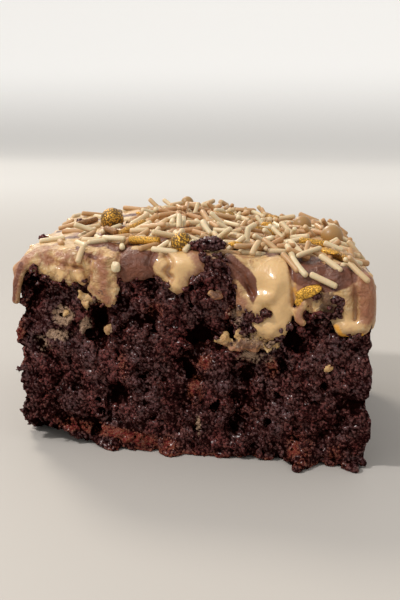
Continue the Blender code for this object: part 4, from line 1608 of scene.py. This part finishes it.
# The lights
SKY_STRENGTH = 0.72
SUN_FROM = (-0.55, 0.62, 0.62)
SUN_STRENGTH = 1.3
SUN_SPREAD = 14
GLINT_FROM = (-0.34, -0.3, 0.5)
GLINT_POWER = 2.6
GLINT_SIZE = 0.08
LIT_PLACE = Vector((0, 0, 0.02))


def add_light(name, kind, strength, tone, **settings):
    data = bpy.data.lights.new(name, kind)
    data.energy, data.color = strength, tone
    for key, value in settings.items():
        setattr(data, key, value)
    lamp = bpy.data.objects.new(name, data)
    bpy.context.scene.collection.objects.link(lamp)
    return lamp


def add_lights():
    """A warm sun from behind on the left, a small lamp for the glints, and soft light from all round."""
    scene = bpy.context.scene
    world = bpy.data.worlds.new("soft_studio")
    world.use_nodes = True
    sky = world.node_tree.nodes["Background"].inputs
    sky["Color"].default_value = (1.0, 0.985, 0.96, 1)
    sky["Strength"].default_value = SKY_STRENGTH
    scene.world = world
    sun = add_light("key", "SUN", SUN_STRENGTH, (1.0, 0.92, 0.8), angle=math.radians(SUN_SPREAD))
    sun.rotation_euler = Vector(SUN_FROM).to_track_quat("Z", "Y").to_euler()
    glint = add_light("glint", "AREA", GLINT_POWER, (1.0, 0.97, 0.94), shape="DISK", size=GLINT_SIZE)
    glint.location = GLINT_FROM
    glint.rotation_euler = (LIT_PLACE - Vector(GLINT_FROM)).to_track_quat("-Z", "Y").to_euler()


def floor_material(colours):
    """Paler the further back it runs, up to the backdrop's colour."""
    make = Maker("pale_floor", roughness=0.7, emission_strength=0.21)
    place = {"Vector": make.place}
    away, rise = (make.node("ShaderNodeSeparateXYZ", sockets=place, output=axis) for axis in "YZ")
    risen = make.between(rise, 0.0, 0.12)
    tone = make.coated(
        make.mix(make.grain(0.3, detail=2), colours.floor, tuple(c * 0.97 for c in colours.floor)),
        (make.between(away, 0.12, 0.6) * 0.62, colours.backdrop),
        (risen, colours.backdrop),
    )
    return make.finish(base_color=tone, emission_color=make.mix(risen, (0, 0, 0), colours.backdrop))


class CAKE_OT_stage(bpy.types.Operator):
    """Makes the pale floor with its swept backdrop, the lights and the camera"""

    bl_idname = "cake.stage"
    bl_label = "Stage"

    def execute(self, context):
        scene = context.scene
        profile = [(FLOOR_FRONT, 0.0), (FLOOR_BACK, 0.0)]
        for turn in np.linspace(0.1, math.pi / 2, 14):
            run, rise = SWEEP * math.sin(turn), SWEEP - SWEEP * math.cos(turn)
            profile.append((FLOOR_BACK + run, rise))
        points = [(side, y, z - FLOOR_GAP) for y, z in profile for side in (-FLOOR_SIDE, FLOOR_SIDE)]
        faces = [(2 * i, 2 * i + 1, 2 * i + 3, 2 * i + 2) for i in range(len(profile) - 1)]
        mesh = mesh_of("floor", np.array(points), np.array(faces))
        mesh.materials.append(floor_material(scene.cake_colours))
        floor = bpy.data.objects.new("floor", mesh)
        scene.collection.objects.link(floor)
        floor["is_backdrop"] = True

        add_lights()
        scene.view_settings.view_transform = "Standard"

        lens = bpy.data.cameras.new("camera")
        lens.sensor_fit, lens.sensor_height, lens.lens, lens.clip_start = "VERTICAL", SENSOR, LENS, 0.01
        camera = bpy.data.objects.new("camera", lens)
        scene.collection.objects.link(camera)
        camera.location = CAMERA_PLACE
        camera.rotation_euler = (math.radians(90 - CAMERA_PITCH), 0, math.radians(CAMERA_YAW))
        scene.camera = camera
        return {"FINISHED"}


PIECES = (
    CAKE_OT_sponge,
    CAKE_OT_frosting,
    CAKE_OT_crumbs,
    CAKE_OT_drops,
    CAKE_OT_jimmies,
    CAKE_OT_rods,
    CAKE_OT_balls,
    CAKE_OT_flakes,
    CAKE_OT_stage,
)


class CAKE_PT_sidebar(bpy.types.Panel):
    bl_label = "Chocolate cake slice"
    bl_idname = "CAKE_PT_sidebar"
    bl_space_type = "VIEW_3D"
    bl_region_type = "UI"
    bl_category = "Cake"

    def draw(self, context):
        for piece in PIECES:
            self.layout.operator(piece.bl_idname)
        for group in (context.scene.cake_sizes, context.scene.cake_colours):
            for name in group.__annotations__:
                self.layout.prop(group, name)


CLASSES = (CakeSizes, CakeColours, *PIECES, CAKE_PT_sidebar)


def register():
    for each in CLASSES:
        bpy.utils.register_class(each)
    bpy.types.Scene.cake_sizes = bpy.props.PointerProperty(type=CakeSizes)
    bpy.types.Scene.cake_colours = bpy.props.PointerProperty(type=CakeColours)


def unregister():
    del bpy.types.Scene.cake_sizes
    del bpy.types.Scene.cake_colours
    for each in reversed(CLASSES):
        bpy.utils.unregister_class(each)


def main():
    register()
    for piece in PIECES:
        group, name = piece.bl_idname.split(".")
        getattr(getattr(bpy.ops, group), name)()
    boxes = {"cad": SOLID_BOX, "visual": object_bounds()}
    boxes = {name: [list(corner) for corner in box] for name, box in boxes.items()}


if __name__ == "__main__":
    main()
